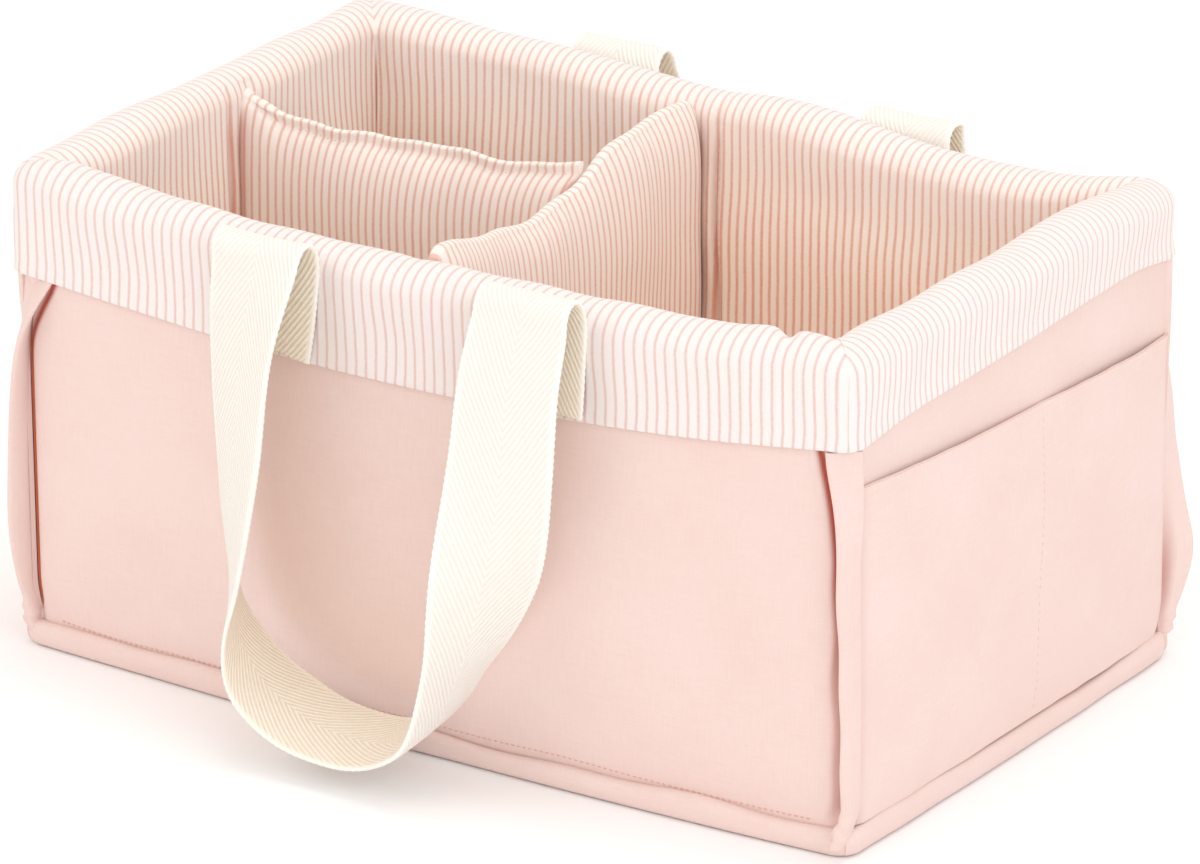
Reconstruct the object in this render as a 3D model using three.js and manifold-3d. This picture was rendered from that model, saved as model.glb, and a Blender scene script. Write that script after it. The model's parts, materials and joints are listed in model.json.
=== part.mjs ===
// A soft diaper caddy: a sewn box with padded walls, a striped lining that turns over the rim as a
// cuff, padded dividers, end pockets and two hanging webbing handles.
// Millimetres, +Z up, front at -Y, origin on the floor under the middle of the box.
import * as THREE from "three";
import { mergeVertices } from "three/addons/utils/BufferGeometryUtils.js";
import Module from "manifold-3d";

// Overall sizes, over the cuff and from the floor to the rim's ridge at the corners
const LENGTH = 326;
const DEPTH = 201;
const HEIGHT = 168;

// Layers of the wall and the base
const FABRIC = 1.2;
const CLEARANCE = 0.3;
const WALL_PADDING = 13;
const BOARD = 2;
const BASE_PADDING = 5;

// Plan corners: the cuff outside and the lining inside
const CORNER_RADIUS = 8;
const INNER_RADIUS = 3;

// Soft form of the walls: how far they bow, sag, swell and draw in at the foot
const LONG_WALL_BOW = 3;
const END_WALL_BOW = 1;
const LONG_RIM_SAG = 4;
const END_RIM_SAG = 0;
const PANEL_CROWN = 3;
const LINING_CROWN = 2.5;
const FOOT_DRAW_IN = 4;
const FOOT_HEIGHT = 25;
const CROWN_POWER = 4;

// Cuff: drop from ridge to hem at the corners, and the further dip at the middle of a wall
const CUFF_DROP = 33;
const HEM_DIP = 6.5;
const PANEL_TUCK = 16;

// Seams that stand out: the rolled welt at the foot and the pinched fins at the corners
const WELT_HEIGHT = 9;
const WELT_ROUND = 2.5;
const FIN_WIDTH = 10;
const FIN_THICKNESS = 3;
const FIN_LEAN_FOOT = THREE.MathUtils.degToRad(-6);
const FIN_LEAN_TOP = THREE.MathUtils.degToRad(66);
const FIN_FOLD_LENGTH = 50;

// End pockets
const POCKET_BELOW_HEM = 15;
const POCKET_BELLY = 7.5;
const POCKET_SLACK_POWER = 1.4;
const POCKET_WRAP = THREE.MathUtils.degToRad(28);

// Webbing handles
const STRAP_WIDTH = 35;
const STRAP_THICKNESS = 1.8;
const HANDLE_SPREAD = 105;
const FOLD_RADIUS = 4.5;
const FOLD_BELOW_RIDGE = 4;
const FOLD_LAP = THREE.MathUtils.degToRad(35);
const HANDLE_FLOOR_GAP = 8.5;
const HANDLE_STANDOFF = 7;
const LOOP_TILT = THREE.MathUtils.degToRad(9);

// How a handle's legs hang, as shares of the drop, of half the spread and of the leg's length: how far
// a leg falls straight, how full its turn into the loop is, and where it has swung out from the wall
const LEFT_LEG = { fall: 0.86, turn: 1.1, swungOut: 0.5 };
const RIGHT_LEG = { fall: 0.7, turn: 0.78, swungOut: 0.35 };

// The legs' quarter twist as shares of the turn and of the leg's length: the left leg starts at once,
// goes on steadily and ends in a late turn, the right leg stays flat down to where it starts
const LEFT_TWIST = { early: 0.2, earlyBy: 0.2, steady: 0.35, lateFrom: 0.55 };
const RIGHT_TWIST_START = 0.35;

// Padded dividers
const DIVIDER_X = -4;
const DIVIDER_THICKNESS = 15;
const DIVIDER_EDGE = 5;
const DIVIDER_BELOW_RIM = 3;
const CROSS_SAG = 11;
const CROSS_BOW = 5;
const LONG_SAG = 5;
const LONG_LEFT_Y = 0;
const LONG_RIGHT_Y = 18;

// Facets
const BAY_STEPS = 4;
const ARC_STEPS = 2;
const ROLL_STEPS = 8;
const PANEL_STEPS = 6;
const POCKET_STEPS = 6;
const FIN_STEPS = 6;
const FOLD_STEPS = 8;
const CURL_SIDES = 48;
const LEG_STEPS = 20;
const DIVIDER_LENGTH_STEPS = 10;
const DIVIDER_HEIGHT_STEPS = 7;
const CORNER_STEPS = 4;

// Depths of the layers, inward from the cuff's outer face
const PANEL_FACE = FABRIC + CLEARANCE;
const PADDING_FACE = PANEL_FACE + FABRIC + CLEARANCE;
const LINING_BACK = PADDING_FACE + WALL_PADDING + CLEARANCE;
const WALL = LINING_BACK + FABRIC;

// Heights of the layers
const BOARD_FOOT = FABRIC + CLEARANCE;
const BASE_PADDING_FOOT = BOARD_FOOT + BOARD + CLEARANCE;
const LINING_FOOT = BASE_PADDING_FOOT + BASE_PADDING + CLEARANCE;
const FLOOR = LINING_FOOT + FABRIC;
const SHOULDER = HEIGHT - WALL / 2;
const CORNER_HEM = HEIGHT - CUFF_DROP;
const PANEL_TOP = CORNER_HEM + PANEL_TUCK;
const POCKET_FOOT = WELT_HEIGHT + CLEARANCE;
const POCKET_MOUTH = CORNER_HEM - POCKET_BELOW_HEM;
const MITRE_SETBACK = CLEARANCE / Math.SQRT2;

const wasm = await Module();
wasm.setup();

const { clamp, lerp, smoothstep } = THREE.MathUtils;
const steps = (count) => Array.from({ length: count + 1 }, (_, i) => i / count);

// Cotton, webbing and padding finishes
const finish = (color, roughness) =>
  new THREE.MeshStandardMaterial({ color, roughness, metalness: 0 });
const PINK_COTTON = finish(0xf6d9cf, 0.9);
const STRIPED_COTTON = finish(0xf9ece7, 0.9);
const CREAM_WEBBING = finish(0xfaf3e6, 0.85);
const WHITE_WADDING = finish(0xf2f0ec, 0.95);
const GREY_BOARD = finish(0x9c958c, 0.8);

function named(name, geometry, material) {
  const mesh = new THREE.Mesh(geometry, material);
  mesh.name = name;
  return mesh;
}

// Six times the volume inside a closed indexed surface, negative when it is inside out.
function signedVolume(points, index) {
  let total = 0;
  for (let i = 0; i < index.length; i += 3) {
    const [a, b, c] = [points[index[i]], points[index[i + 1]], points[index[i + 2]]];
    total += a.dot(b.clone().cross(c));
  }
  return total;
}

// A closed solid through a row of rings with equal point counts. Each side's diagonal climbs along the
// run, so parallel sheets fold alike, and each cap joins the two flanks of its ring point by point.
function loft(rings) {
  const points = rings.flat();
  const around = rings[0].length;
  const last = points.length - around;
  const index = [];
  const triangle = (a, b, c) => {
    if (a !== b && b !== c && c !== a) index.push(a, b, c);
  };
  const quad = (a, b, c, d) => {
    triangle(a, b, c);
    triangle(a, c, d);
  };
  for (let ring = 0; ring < last; ring += around)
    for (let j = 0; j < around; j++) {
      const [a, b] = [ring + j, ring + ((j + 1) % around)];
      const corners = [a, b, b + around, a + around];
      if (points[b].z < points[a].z) corners.push(corners.shift());
      quad(...corners);
    }
  for (let j = 0; j < Math.floor((around - 1) / 2); j++) {
    const [p, q] = [around - 1 - j, around - 2 - j];
    quad(j + 1, j, p, q);
    quad(last + j, last + j + 1, last + q, last + p);
  }
  if (signedVolume(points, index) < 0) index.reverse();
  const geometry = new THREE.BufferGeometry().setFromPoints(points);
  geometry.setIndex(index);
  geometry.computeVertexNormals();
  return geometry;
}

// Boolean cut of one closed geometry by another.
function solid(geometry) {
  const bare = new THREE.BufferGeometry().setAttribute("position", geometry.getAttribute("position"));
  bare.setIndex(geometry.index);
  const merged = mergeVertices(bare, 1e-4);
  return new wasm.Manifold(
    new wasm.Mesh({
      numProp: 3,
      vertProperties: new Float32Array(merged.attributes.position.array),
      triVerts: new Uint32Array(merged.index.array),
    }),
  );
}

function cut(body, tool) {
  const mesh = solid(body).subtract(solid(tool)).getMesh();
  const geometry = new THREE.BufferGeometry();
  geometry.setAttribute("position", new THREE.BufferAttribute(mesh.vertProperties, 3));
  geometry.setIndex(new THREE.BufferAttribute(mesh.triVerts, 1));
  geometry.computeVertexNormals();
  return geometry;
}

// The four walls: half run, reach from the middle, turn about Z and softness. The seams are where a
// divider is sewn into the lining, as a distance along the wall.
const LONG_WALL = { half: LENGTH / 2, reach: DEPTH / 2, bow: LONG_WALL_BOW, sag: LONG_RIM_SAG };
const END_WALL = { half: DEPTH / 2, reach: LENGTH / 2, bow: END_WALL_BOW, sag: END_RIM_SAG };
const WALLS = {
  front: { ...LONG_WALL, turn: 0, seams: [DIVIDER_X] },
  right: { ...END_WALL, turn: 1, seams: [] },
  back: { ...LONG_WALL, turn: 2, seams: [-DIVIDER_X] },
  left: { ...END_WALL, turn: 3, seams: [-LONG_LEFT_Y] },
};

const cornerRadius = (depth) => lerp(CORNER_RADIUS, INNER_RADIUS, clamp(depth / WALL, 0, 1));
const straightRun = (wall, depth, radius = cornerRadius(depth)) =>
  wall.half - MITRE_SETBACK - depth - radius;
const middle = (t) => 1 - t * t;
const footDrawIn = (z) => FOOT_DRAW_IN * Math.max(0, 1 - z / FOOT_HEIGHT) ** 2;
const swell = (z, low, high) => Math.sin(Math.PI * clamp((z - low) / (high - low), 0, 1));
const hemHeight = (t) => CORNER_HEM - HEM_DIP * middle(t);
const bowOut = (wall, t, z) => (wall.bow * middle(t) * z) / HEIGHT;
const sagDown = (wall, t, z) => wall.sag * middle(t) * (z / HEIGHT) ** 2;

// A hump over each stretch between neighbouring edges, 1 at its middle and 0 at its ends.
function humps(t, edges) {
  const k = edges.findIndex((edge, i) => i > 0 && t <= edge);
  if (k < 1) return 0;
  const [a, b] = [edges[k - 1], edges[k]];
  return (4 * (t - a) * (b - t)) / (b - a) ** 2;
}

const seamShares = (wall) => wall.seams.map((s) => s / straightRun(wall, LINING_BACK));

// Stations along a wall: bays of the straight run as t, and the share of each corner arc as an angle.
function stations(wall, arc = Math.PI / 4, edges = [-1, ...seamShares(wall), 1]) {
  const run = edges.slice(1).flatMap((end, k) =>
    steps(BAY_STEPS).slice(k ? 1 : 0).map((f) => ({ t: lerp(edges[k], end, f), angle: 0 })),
  );
  const bend = steps(ARC_STEPS).slice(1).map((f) => f * arc);
  return [
    ...bend.toReversed().map((angle) => ({ t: -1, angle: -angle })),
    ...run,
    ...bend.map((angle) => ({ t: 1, angle })),
  ];
}

// The soft wall in its own frame: run along X, outward along -Y. A point at a depth inside the cuff
// and a height follows the corner arc, the drawn-in foot, the bow, the sag and the swell of both faces.
function wallPoint(wall, { t, angle }, depth, z) {
  const inner = clamp((depth - PADDING_FACE) / WALL_PADDING, 0, 1);
  const drawn = depth + footDrawIn(z) * (1 - inner);
  const radius = cornerRadius(depth);
  const outward =
    bowOut(wall, t, z) +
    PANEL_CROWN * (1 - t ** CROWN_POWER) * swell(z, WELT_HEIGHT, CORNER_HEM - HEM_DIP) * (1 - inner) -
    LINING_CROWN * humps(t, [-1, ...seamShares(wall), 1]) * swell(z, FLOOR, SHOULDER) * inner;
  const along = t * straightRun(wall, drawn, radius) + radius * Math.sin(angle);
  const out = wall.reach - drawn - radius * (1 - Math.cos(angle)) + outward;
  return new THREE.Vector3(along, -out, z - sagDown(wall, t, z));
}

// Carries a closed (depth, height) profile, which may change along the wall, from corner to corner.
function wallLoft(wall, row, profile) {
  return loft(
    row.map((station) => profile(station).map(([depth, z]) => wallPoint(wall, station, depth, z))),
  );
}

// Levels that layers share, so that their facets lie parallel: on the outer and on the inner side
const levels = (foot, top, count) => steps(count).map((f) => lerp(foot, top, f));
const OUTER_LEVELS = levels(BOARD_FOOT, PANEL_TOP, PANEL_STEPS);
const INNER_LEVELS = levels(LINING_FOOT, SHOULDER, PANEL_STEPS).slice(0, -1);

// A sheet between two depths, from foot to top.
const sheetProfile = (face, back, heights) => [
  ...heights.map((z) => [face(z), z]),
  ...heights.toReversed().map((z) => [back(z), z]),
];

const outerPanel = (wall) =>
  wallLoft(wall, stations(wall), () =>
    sheetProfile(() => PANEL_FACE, () => PANEL_FACE + FABRIC, OUTER_LEVELS),
  );

// Half round over the rim, from the inside to the outside.
const roll = (centre, radius) =>
  steps(ROLL_STEPS).map((f) => [
    centre + radius * Math.cos(Math.PI * f),
    SHOULDER + radius * Math.sin(Math.PI * f),
  ]);

function wallPadding(wall) {
  const back = PADDING_FACE + WALL_PADDING;
  return wallLoft(wall, stations(wall), () => [
    ...[BOARD_FOOT, ...INNER_LEVELS].map((z) => [back, z]),
    ...roll(PADDING_FACE + WALL_PADDING / 2, WALL_PADDING / 2),
    ...OUTER_LEVELS.toReversed().map((z) => [PADDING_FACE, z]),
  ]);
}

// One cloth from the floor seam up the inside, over the rim and down outside to the hem.
function liningWithCuff(wall) {
  return wallLoft(wall, stations(wall), ({ t }) => [
    ...INNER_LEVELS.map((z) => [WALL, z]),
    ...roll(WALL / 2, WALL / 2),
    [0, hemHeight(t)],
    [FABRIC, hemHeight(t)],
    ...roll(WALL / 2, WALL / 2 - FABRIC).toReversed(),
    ...INNER_LEVELS.toReversed().map((z) => [LINING_BACK, z]),
  ]);
}

// Rolled welt at the foot: its back lies on the drawn-in panel, its face lines up with the cuff.
function baseWelt(wall) {
  const back = (z) => PANEL_FACE - CLEARANCE + footDrawIn(z);
  const profile = [
    [back(0), 0],
    [WELT_ROUND, 0],
    [0, WELT_ROUND],
    [0, WELT_HEIGHT - WELT_ROUND],
    [Math.min(WELT_ROUND, back(WELT_HEIGHT)) / 2, WELT_HEIGHT],
    [back(WELT_HEIGHT), WELT_HEIGHT],
    [back(WELT_HEIGHT / 2), WELT_HEIGHT / 2],
  ];
  const rings = stations(wall).map(({ t, angle }) =>
    profile.map(([depth, z]) => {
      const radius = cornerRadius(depth);
      const along = t * straightRun(wall, depth) + radius * Math.sin(angle);
      return new THREE.Vector3(along, depth + radius * (1 - Math.cos(angle)) - wall.reach, z);
    }),
  );
  return loft(rings);
}

// Patch pocket: sewn at both corners, along the foot and down the middle, slack at the mouth.
function pocket(wall) {
  const edges = [-1, 0, 1];
  const rise = (z) => clamp((z - POCKET_FOOT) / (POCKET_MOUTH - POCKET_FOOT), 0, 1);
  const slack = (t, z) => POCKET_BELLY * humps(t, edges) * rise(z) ** POCKET_SLACK_POWER;
  return wallLoft(wall, stations(wall, POCKET_WRAP, edges), ({ t }) => {
    const back = (z) => PANEL_FACE - CLEARANCE - slack(t, z);
    return sheetProfile((z) => back(z) - FABRIC, back, levels(POCKET_FOOT, POCKET_MOUTH, POCKET_STEPS));
  });
}

// Pinched corner seam: a flat fin rooted on the corner, folded over the long panel under the cuff and
// standing out below. Seen from a long wall, side is +1 at its right end and -1 at its left end.
function cornerFin(wall, side) {
  const half = FIN_THICKNESS / 2;
  const tip = 1 - FIN_WIDTH / straightRun(wall, PANEL_FACE);
  const foot = WELT_HEIGHT + CLEARANCE;
  const top = hemHeight(tip) - sagDown(wall, tip, CORNER_HEM) - CLEARANCE;
  const outline = [
    [0, -half],
    [FIN_WIDTH - half, -half],
    [FIN_WIDTH, 0],
    [FIN_WIDTH - half, half],
    [0, half],
    [-half, 0],
  ];
  const rings = steps(FIN_STEPS).map((f) => {
    const z = lerp(foot, top, f);
    const fold = smoothstep(z, top - FIN_FOLD_LENGTH, top);
    const lean = lerp(FIN_LEAN_FOOT, FIN_LEAN_TOP, fold);
    const depth = PANEL_FACE + footDrawIn(z) - half - CLEARANCE;
    const inset = depth + cornerRadius(PANEL_FACE) * (1 - Math.SQRT1_2);
    return outline.map(([width, thick]) => {
      const inward = width * Math.sin(lean) + thick * Math.cos(lean);
      const outward = width * Math.cos(lean) - thick * Math.sin(lean);
      return new THREE.Vector3(side * (wall.half - inset - inward), inset - wall.reach - outward, z);
    });
  });
  return loft(rings);
}

// The handle's fold axis, in the wall's frame
function foldCentre(wall) {
  const t = HANDLE_SPREAD / 2 / straightRun(wall, 0);
  const z = HEIGHT - FOLD_BELOW_RIDGE;
  const out = wall.reach + bowOut(wall, t, z) + CLEARANCE + STRAP_THICKNESS / 2 + FOLD_RADIUS;
  return { out, z: z - sagDown(wall, t, z) };
}

// Sewn end of a handle: flat on the cuff from the hem up, hollowed at the top to the fold's curl.
function handleAnchor(wall, side) {
  const run = straightRun(wall, 0);
  const row = [-1, 0, 1].map((edge) => ({
    t: (side * HANDLE_SPREAD + edge * STRAP_WIDTH) / 2 / run,
    angle: 0,
  }));
  const centre = foldCentre(wall);
  const foot = hemHeight((HANDLE_SPREAD - STRAP_WIDTH) / 2 / run);
  const heights = [foot, SHOULDER, HEIGHT - FOLD_BELOW_RIDGE - STRAP_THICKNESS];
  const flat = wallLoft(wall, row, () =>
    sheetProfile(() => -CLEARANCE - STRAP_THICKNESS, () => -CLEARANCE, heights),
  );
  const curl = FOLD_RADIUS + STRAP_THICKNESS / 2 + CLEARANCE;
  const tool = new THREE.CylinderGeometry(curl, curl, wall.half * 2, CURL_SIDES);
  tool.rotateZ(Math.PI / 2);
  tool.translate(0, -centre.out, centre.z);
  return cut(flat, new THREE.BufferGeometry().copy(tool));
}

// Free webbing loop: laps into each anchor's hollow, curls over the fold, then hangs as a U whose legs
// turn a quarter about their own length, so the webbing lies flat along Y at the bottom.
function leftTwist(f) {
  const { early, earlyBy, steady, lateFrom } = LEFT_TWIST;
  const late = 1 - early - steady;
  return early * smoothstep(f, 0, earlyBy) + steady * f + late * smoothstep(f, lateFrom, 1);
}
const rightTwist = (f) => smoothstep(f, RIGHT_TWIST_START, 1);

// One half of the loop, from its fold to the bottom, as places with the webbing's normal and width.
function halfLoop(wall, hang, twist) {
  const centre = foldCentre(wall);
  const spread = HANDLE_SPREAD / 2;
  const bottom = HANDLE_FLOOR_GAP + STRAP_THICKNESS / 2 + (STRAP_WIDTH / 2) * Math.sin(LOOP_TILT);
  const drop = centre.z - bottom;
  const legOut = centre.out + FOLD_RADIUS;
  const loopOut = wall.reach + HANDLE_STANDOFF + STRAP_WIDTH / 2;
  const leg = new THREE.CubicBezierCurve3(
    new THREE.Vector3(-spread, 0, centre.z),
    new THREE.Vector3(-spread, 0, centre.z - drop * hang.fall),
    new THREE.Vector3(-spread * hang.turn, 0, bottom),
    new THREE.Vector3(0, 0, bottom),
  );
  const outwards = new THREE.Vector3(0, -1, 0);
  const fold = steps(FOLD_STEPS).slice(0, -1).map((f) => {
    const angle = lerp(-FOLD_LAP, Math.PI, f);
    const normal = new THREE.Vector3(0, Math.cos(angle), Math.sin(angle));
    const place = new THREE.Vector3(-spread, -centre.out, centre.z).addScaledVector(normal, FOLD_RADIUS);
    return { place, normal, across: new THREE.Vector3(1, 0, 0) };
  });
  const fallen = steps(LEG_STEPS).map((f) => {
    const turn = (Math.PI / 2 + LOOP_TILT) * twist(f);
    const along = leg.getTangentAt(f);
    const side = along.clone().cross(outwards);
    const normal = outwards.clone().multiplyScalar(Math.cos(turn)).addScaledVector(side, Math.sin(turn));
    const place = leg.getPointAt(f);
    place.y = -lerp(legOut, loopOut, smoothstep(f, 0, hang.swungOut));
    return { place, normal, across: along.clone().cross(normal).negate() };
  });
  return [...fold, ...fallen];
}

function handleLoop(wall) {
  const mirrored = ({ x, y, z }) => new THREE.Vector3(-x, y, z);
  const left = halfLoop(wall, LEFT_LEG, leftTwist);
  const right = halfLoop(wall, RIGHT_LEG, rightTwist)
    .slice(0, -1)
    .toReversed()
    .map(({ place, normal, across }) => ({
      place: mirrored(place),
      normal: mirrored(normal),
      across: mirrored(across),
    }));
  const [w, h] = [STRAP_WIDTH / 2, STRAP_THICKNESS / 2];
  const section = [[-w, -h], [w, -h], [w, h], [-w, h]];
  const rings = [...left, ...right].map(({ place, normal, across }) =>
    section.map(([x, y]) => place.clone().addScaledVector(across, x).addScaledVector(normal, y)),
  );
  return loft(rings);
}

// Flat plate with rounded plan corners, set in from the cuff's face by a depth.
function basePlate(depth, foot, thickness) {
  const radius = cornerRadius(depth);
  const [x, y] = [LENGTH / 2 - depth, DEPTH / 2 - depth];
  const shape = new THREE.Shape();
  shape.moveTo(-x + radius, -y);
  shape.lineTo(x - radius, -y);
  shape.absarc(x - radius, -y + radius, radius, -Math.PI / 2, 0);
  shape.lineTo(x, y - radius);
  shape.absarc(x - radius, y - radius, radius, 0, Math.PI / 2);
  shape.lineTo(-x + radius, y);
  shape.absarc(-x + radius, y - radius, radius, Math.PI / 2, Math.PI);
  shape.lineTo(-x, -y + radius);
  shape.absarc(-x + radius, -y + radius, radius, Math.PI, Math.PI * 1.5);
  const plate = new THREE.ExtrudeGeometry(shape, {
    depth: thickness,
    bevelEnabled: false,
    curveSegments: CORNER_STEPS,
  });
  return plate.translate(0, 0, foot);
}

// Dividers are crowned pads: thin at the sewn edges, full in the middle, with a sagging top edge.
const padCrown = (share) => Math.sqrt(1 - share ** CROWN_POWER);
const padHalf = (u, v) =>
  DIVIDER_EDGE / 2 + ((DIVIDER_THICKNESS - DIVIDER_EDGE) / 2) * padCrown(u) * padCrown(2 * v - 1);

const DIVIDER_FOOT = FLOOR + CLEARANCE;
const DIVIDER_TOP = HEIGHT - DIVIDER_BELOW_RIM;
const crossTop = (u) => DIVIDER_TOP - CROSS_SAG * middle(u);
const longTop = (u) => DIVIDER_TOP - LONG_SAG * middle(u);
const crossShift = (u, z) => (CROSS_BOW * middle(u) * z) / HEIGHT;
const seamOut = (wall, z) => wall.reach - WALL + bowOut(wall, seamShares(wall)[0], z);

function crossPoint(u, v, thick, inset) {
  const z = lerp(DIVIDER_FOOT, crossTop(u), v);
  const y = u * (seamOut(WALLS.back, z) - CLEARANCE - inset);
  return new THREE.Vector3(DIVIDER_X - crossShift(u, z) + thick, y, z);
}

// Left face of the cross divider, where the long divider is sewn on
function crossLeftFace(y, z) {
  const u = y / (seamOut(WALLS.back, z) - CLEARANCE);
  const v = (z - DIVIDER_FOOT) / (crossTop(u) - DIVIDER_FOOT);
  return DIVIDER_X - crossShift(u, z) - padHalf(u, clamp(v, 0, 1));
}

function longPoint(u, v, thick, inset) {
  const z = lerp(DIVIDER_FOOT, longTop(u), v);
  const left = -(seamOut(WALLS.left, z) - CLEARANCE - inset);
  const right = crossLeftFace(LONG_RIGHT_Y, z) - CLEARANCE - inset;
  const f = (u + 1) / 2;
  return new THREE.Vector3(lerp(left, right, f), lerp(LONG_LEFT_Y, LONG_RIGHT_Y, f) + thick, z);
}

// A pad shrunk by an inset on its faces, ends and top. A cutter's pad also runs on below the foot.
function pad(point, inset, below = 0) {
  const rise = steps(DIVIDER_HEIGHT_STEPS).map((v) => ({ v, drop: v === 1 ? inset : 0 }));
  if (below) rise.unshift({ v: 0, drop: below });
  const outline = [
    ...rise.map((level) => ({ side: 1, ...level })),
    ...rise.toReversed().map((level) => ({ side: -1, ...level })),
  ];
  const rings = steps(DIVIDER_LENGTH_STEPS).map((f) => {
    const u = lerp(-1, 1, f);
    return outline.map(({ side, v, drop }) => {
      const place = point(u, v, side * (padHalf(u, v) - inset), inset);
      place.z -= drop;
      return place;
    });
  });
  return loft(rings);
}

const dividerCover = (point) => cut(pad(point, 0), pad(point, FABRIC, 2 * FABRIC));
const dividerPadding = (point) => pad(point, FABRIC + CLEARANCE);

// Each wall is sewn up in its own frame and turned into place.
function sewnWall(side) {
  const wall = WALLS[side];
  const group = new THREE.Group();
  group.rotation.z = (wall.turn * Math.PI) / 2;
  group.add(named(`outer_${side}_panel`, outerPanel(wall), PINK_COTTON));
  group.add(named(`${side}_wall_padding`, wallPadding(wall), WHITE_WADDING));
  group.add(named(`lining_${side}`, liningWithCuff(wall), STRIPED_COTTON));
  group.add(named(`base_welt_${side}`, baseWelt(wall), PINK_COTTON));
  return group;
}

// A long wall also carries a handle and the fins of its two corners; ends maps +1 and -1 to left or right.
function addHandleAndFins(group, side, handle, ends) {
  const wall = WALLS[side];
  group.add(named(`${handle}_handle_loop`, handleLoop(wall), CREAM_WEBBING));
  for (const [end, sign] of ends) {
    group.add(named(`${handle}_handle_anchor_${end}`, handleAnchor(wall, sign), CREAM_WEBBING));
    group.add(named(`corner_welt_${side}_${end}`, cornerFin(wall, sign), PINK_COTTON));
  }
}

const caddy = new THREE.Group();
const sides = Object.fromEntries(Object.keys(WALLS).map((side) => [side, sewnWall(side)]));
caddy.add(...Object.values(sides));
addHandleAndFins(sides.front, "front", "front", [["left", -1], ["right", 1]]);
addHandleAndFins(sides.back, "back", "rear", [["left", 1], ["right", -1]]);
sides.left.add(named("pocket_left", pocket(WALLS.left), PINK_COTTON));
sides.right.add(named("pocket_right", pocket(WALLS.right), PINK_COTTON));

caddy.add(
  named("outer_base_panel", basePlate(PANEL_FACE + FOOT_DRAW_IN, 0, FABRIC), PINK_COTTON),
  named("base_board", basePlate(LINING_BACK, BOARD_FOOT, BOARD), GREY_BOARD),
  named("base_padding", basePlate(LINING_BACK, BASE_PADDING_FOOT, BASE_PADDING), WHITE_WADDING),
  named("lining_base", basePlate(WALL + CLEARANCE, LINING_FOOT, FABRIC), STRIPED_COTTON),
  named("cross_divider_cover", dividerCover(crossPoint), STRIPED_COTTON),
  named("cross_divider_padding", dividerPadding(crossPoint), WHITE_WADDING),
  named("long_divider_cover", dividerCover(longPoint), STRIPED_COTTON),
  named("long_divider_padding", dividerPadding(longPoint), WHITE_WADDING),
);

export default caddy;
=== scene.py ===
"""A soft diaper caddy: padded striped walls, pink cotton outside, padded dividers and webbing handles.

Every piece is a surface worked out with numpy in millimetres: a closed profile carried along a wall, a
divider's pad, or webbing carried along its hanging path. Cotton, stripes and herringbone are node
materials on each piece's own UV map, whose units are millimetres across and along the cloth.
"""
import json
import math
from types import SimpleNamespace

import bpy
import numpy as np
from mathutils import Matrix, Vector


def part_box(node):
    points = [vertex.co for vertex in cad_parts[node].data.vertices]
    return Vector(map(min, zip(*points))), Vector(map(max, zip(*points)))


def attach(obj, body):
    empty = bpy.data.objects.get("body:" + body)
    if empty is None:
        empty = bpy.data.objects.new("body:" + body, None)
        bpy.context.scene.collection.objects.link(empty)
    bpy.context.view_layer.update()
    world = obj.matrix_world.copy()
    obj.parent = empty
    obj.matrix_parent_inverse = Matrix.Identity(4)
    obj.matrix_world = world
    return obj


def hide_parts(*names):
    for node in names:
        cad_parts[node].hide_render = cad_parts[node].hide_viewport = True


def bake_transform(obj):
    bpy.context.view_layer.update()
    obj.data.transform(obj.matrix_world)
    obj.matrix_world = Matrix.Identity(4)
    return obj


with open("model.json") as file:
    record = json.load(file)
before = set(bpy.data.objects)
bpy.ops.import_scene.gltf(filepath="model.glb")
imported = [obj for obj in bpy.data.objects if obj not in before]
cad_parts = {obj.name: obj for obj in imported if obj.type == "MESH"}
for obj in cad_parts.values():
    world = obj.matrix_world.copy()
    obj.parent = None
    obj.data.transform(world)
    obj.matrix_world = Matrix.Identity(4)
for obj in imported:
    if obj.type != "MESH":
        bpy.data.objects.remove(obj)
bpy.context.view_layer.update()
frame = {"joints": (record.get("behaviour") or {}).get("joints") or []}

MM = 0.001


def box(node):
    """Lowest and highest corner of a node of the frame, in millimetres."""
    low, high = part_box(node)
    return np.array(low) / MM, np.array(high) / MM


# Sizes that the frame gives
HALF_LENGTH = box("base_welt_right")[1][0]
HALF_DEPTH = -box("base_welt_front")[0][1]
HEIGHT = box("lining_left")[1][2]
FLOOR = box("lining_base")[1][2]
WELT_HEIGHT = box("base_welt_front")[1][2]
PANEL_FOOT, PANEL_TOP = box("outer_left_panel")[0][2], box("outer_left_panel")[1][2]
POCKET_FOOT = box("pocket_right")[0][2]

# Layers of a wall, as depths inward from the cuff's face
CLEARANCE = 0.3
FABRIC = 1.2
WALL = HALF_LENGTH - box("lining_base")[1][0] - CLEARANCE
PANEL_FACE = FABRIC + CLEARANCE
PAD_FACE = PANEL_FACE + FABRIC + CLEARANCE
PAD_BACK = WALL - FABRIC - CLEARANCE
CUFF_JOIN = PANEL_TOP + 2.0

# Soft form of the walls
CORNER_RADIUS = 8.0
INNER_RADIUS = 3.0
MITRE_LAP = 0.2
PANEL_CROWN = 3.0
LINING_CROWN = 3.2
FOOT_DRAW_IN = 4.0
FOOT_HEIGHT = 25.0
CREASE_BEGINS = (5, 18)
ROLL_PROUD = 1.2

# Dividers
DIVIDER_X = -4.0
DIVIDER_REAR_X = -18.0
DIVIDER_THICKNESS = 15.0
LONG_LEFT_Y = 11.5
LONG_RIGHT_Y = 19.0

# Webbing
STRAP_WIDTH = 35.0
STRAP_THICKNESS = 1.8

# Stripes of the lining cloth, threads of both cottons and ribs of the webbing
STRIPE_PITCH = 3.4
THREAD_PITCH = 0.45
TWILL_PITCH = 3.1

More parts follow.
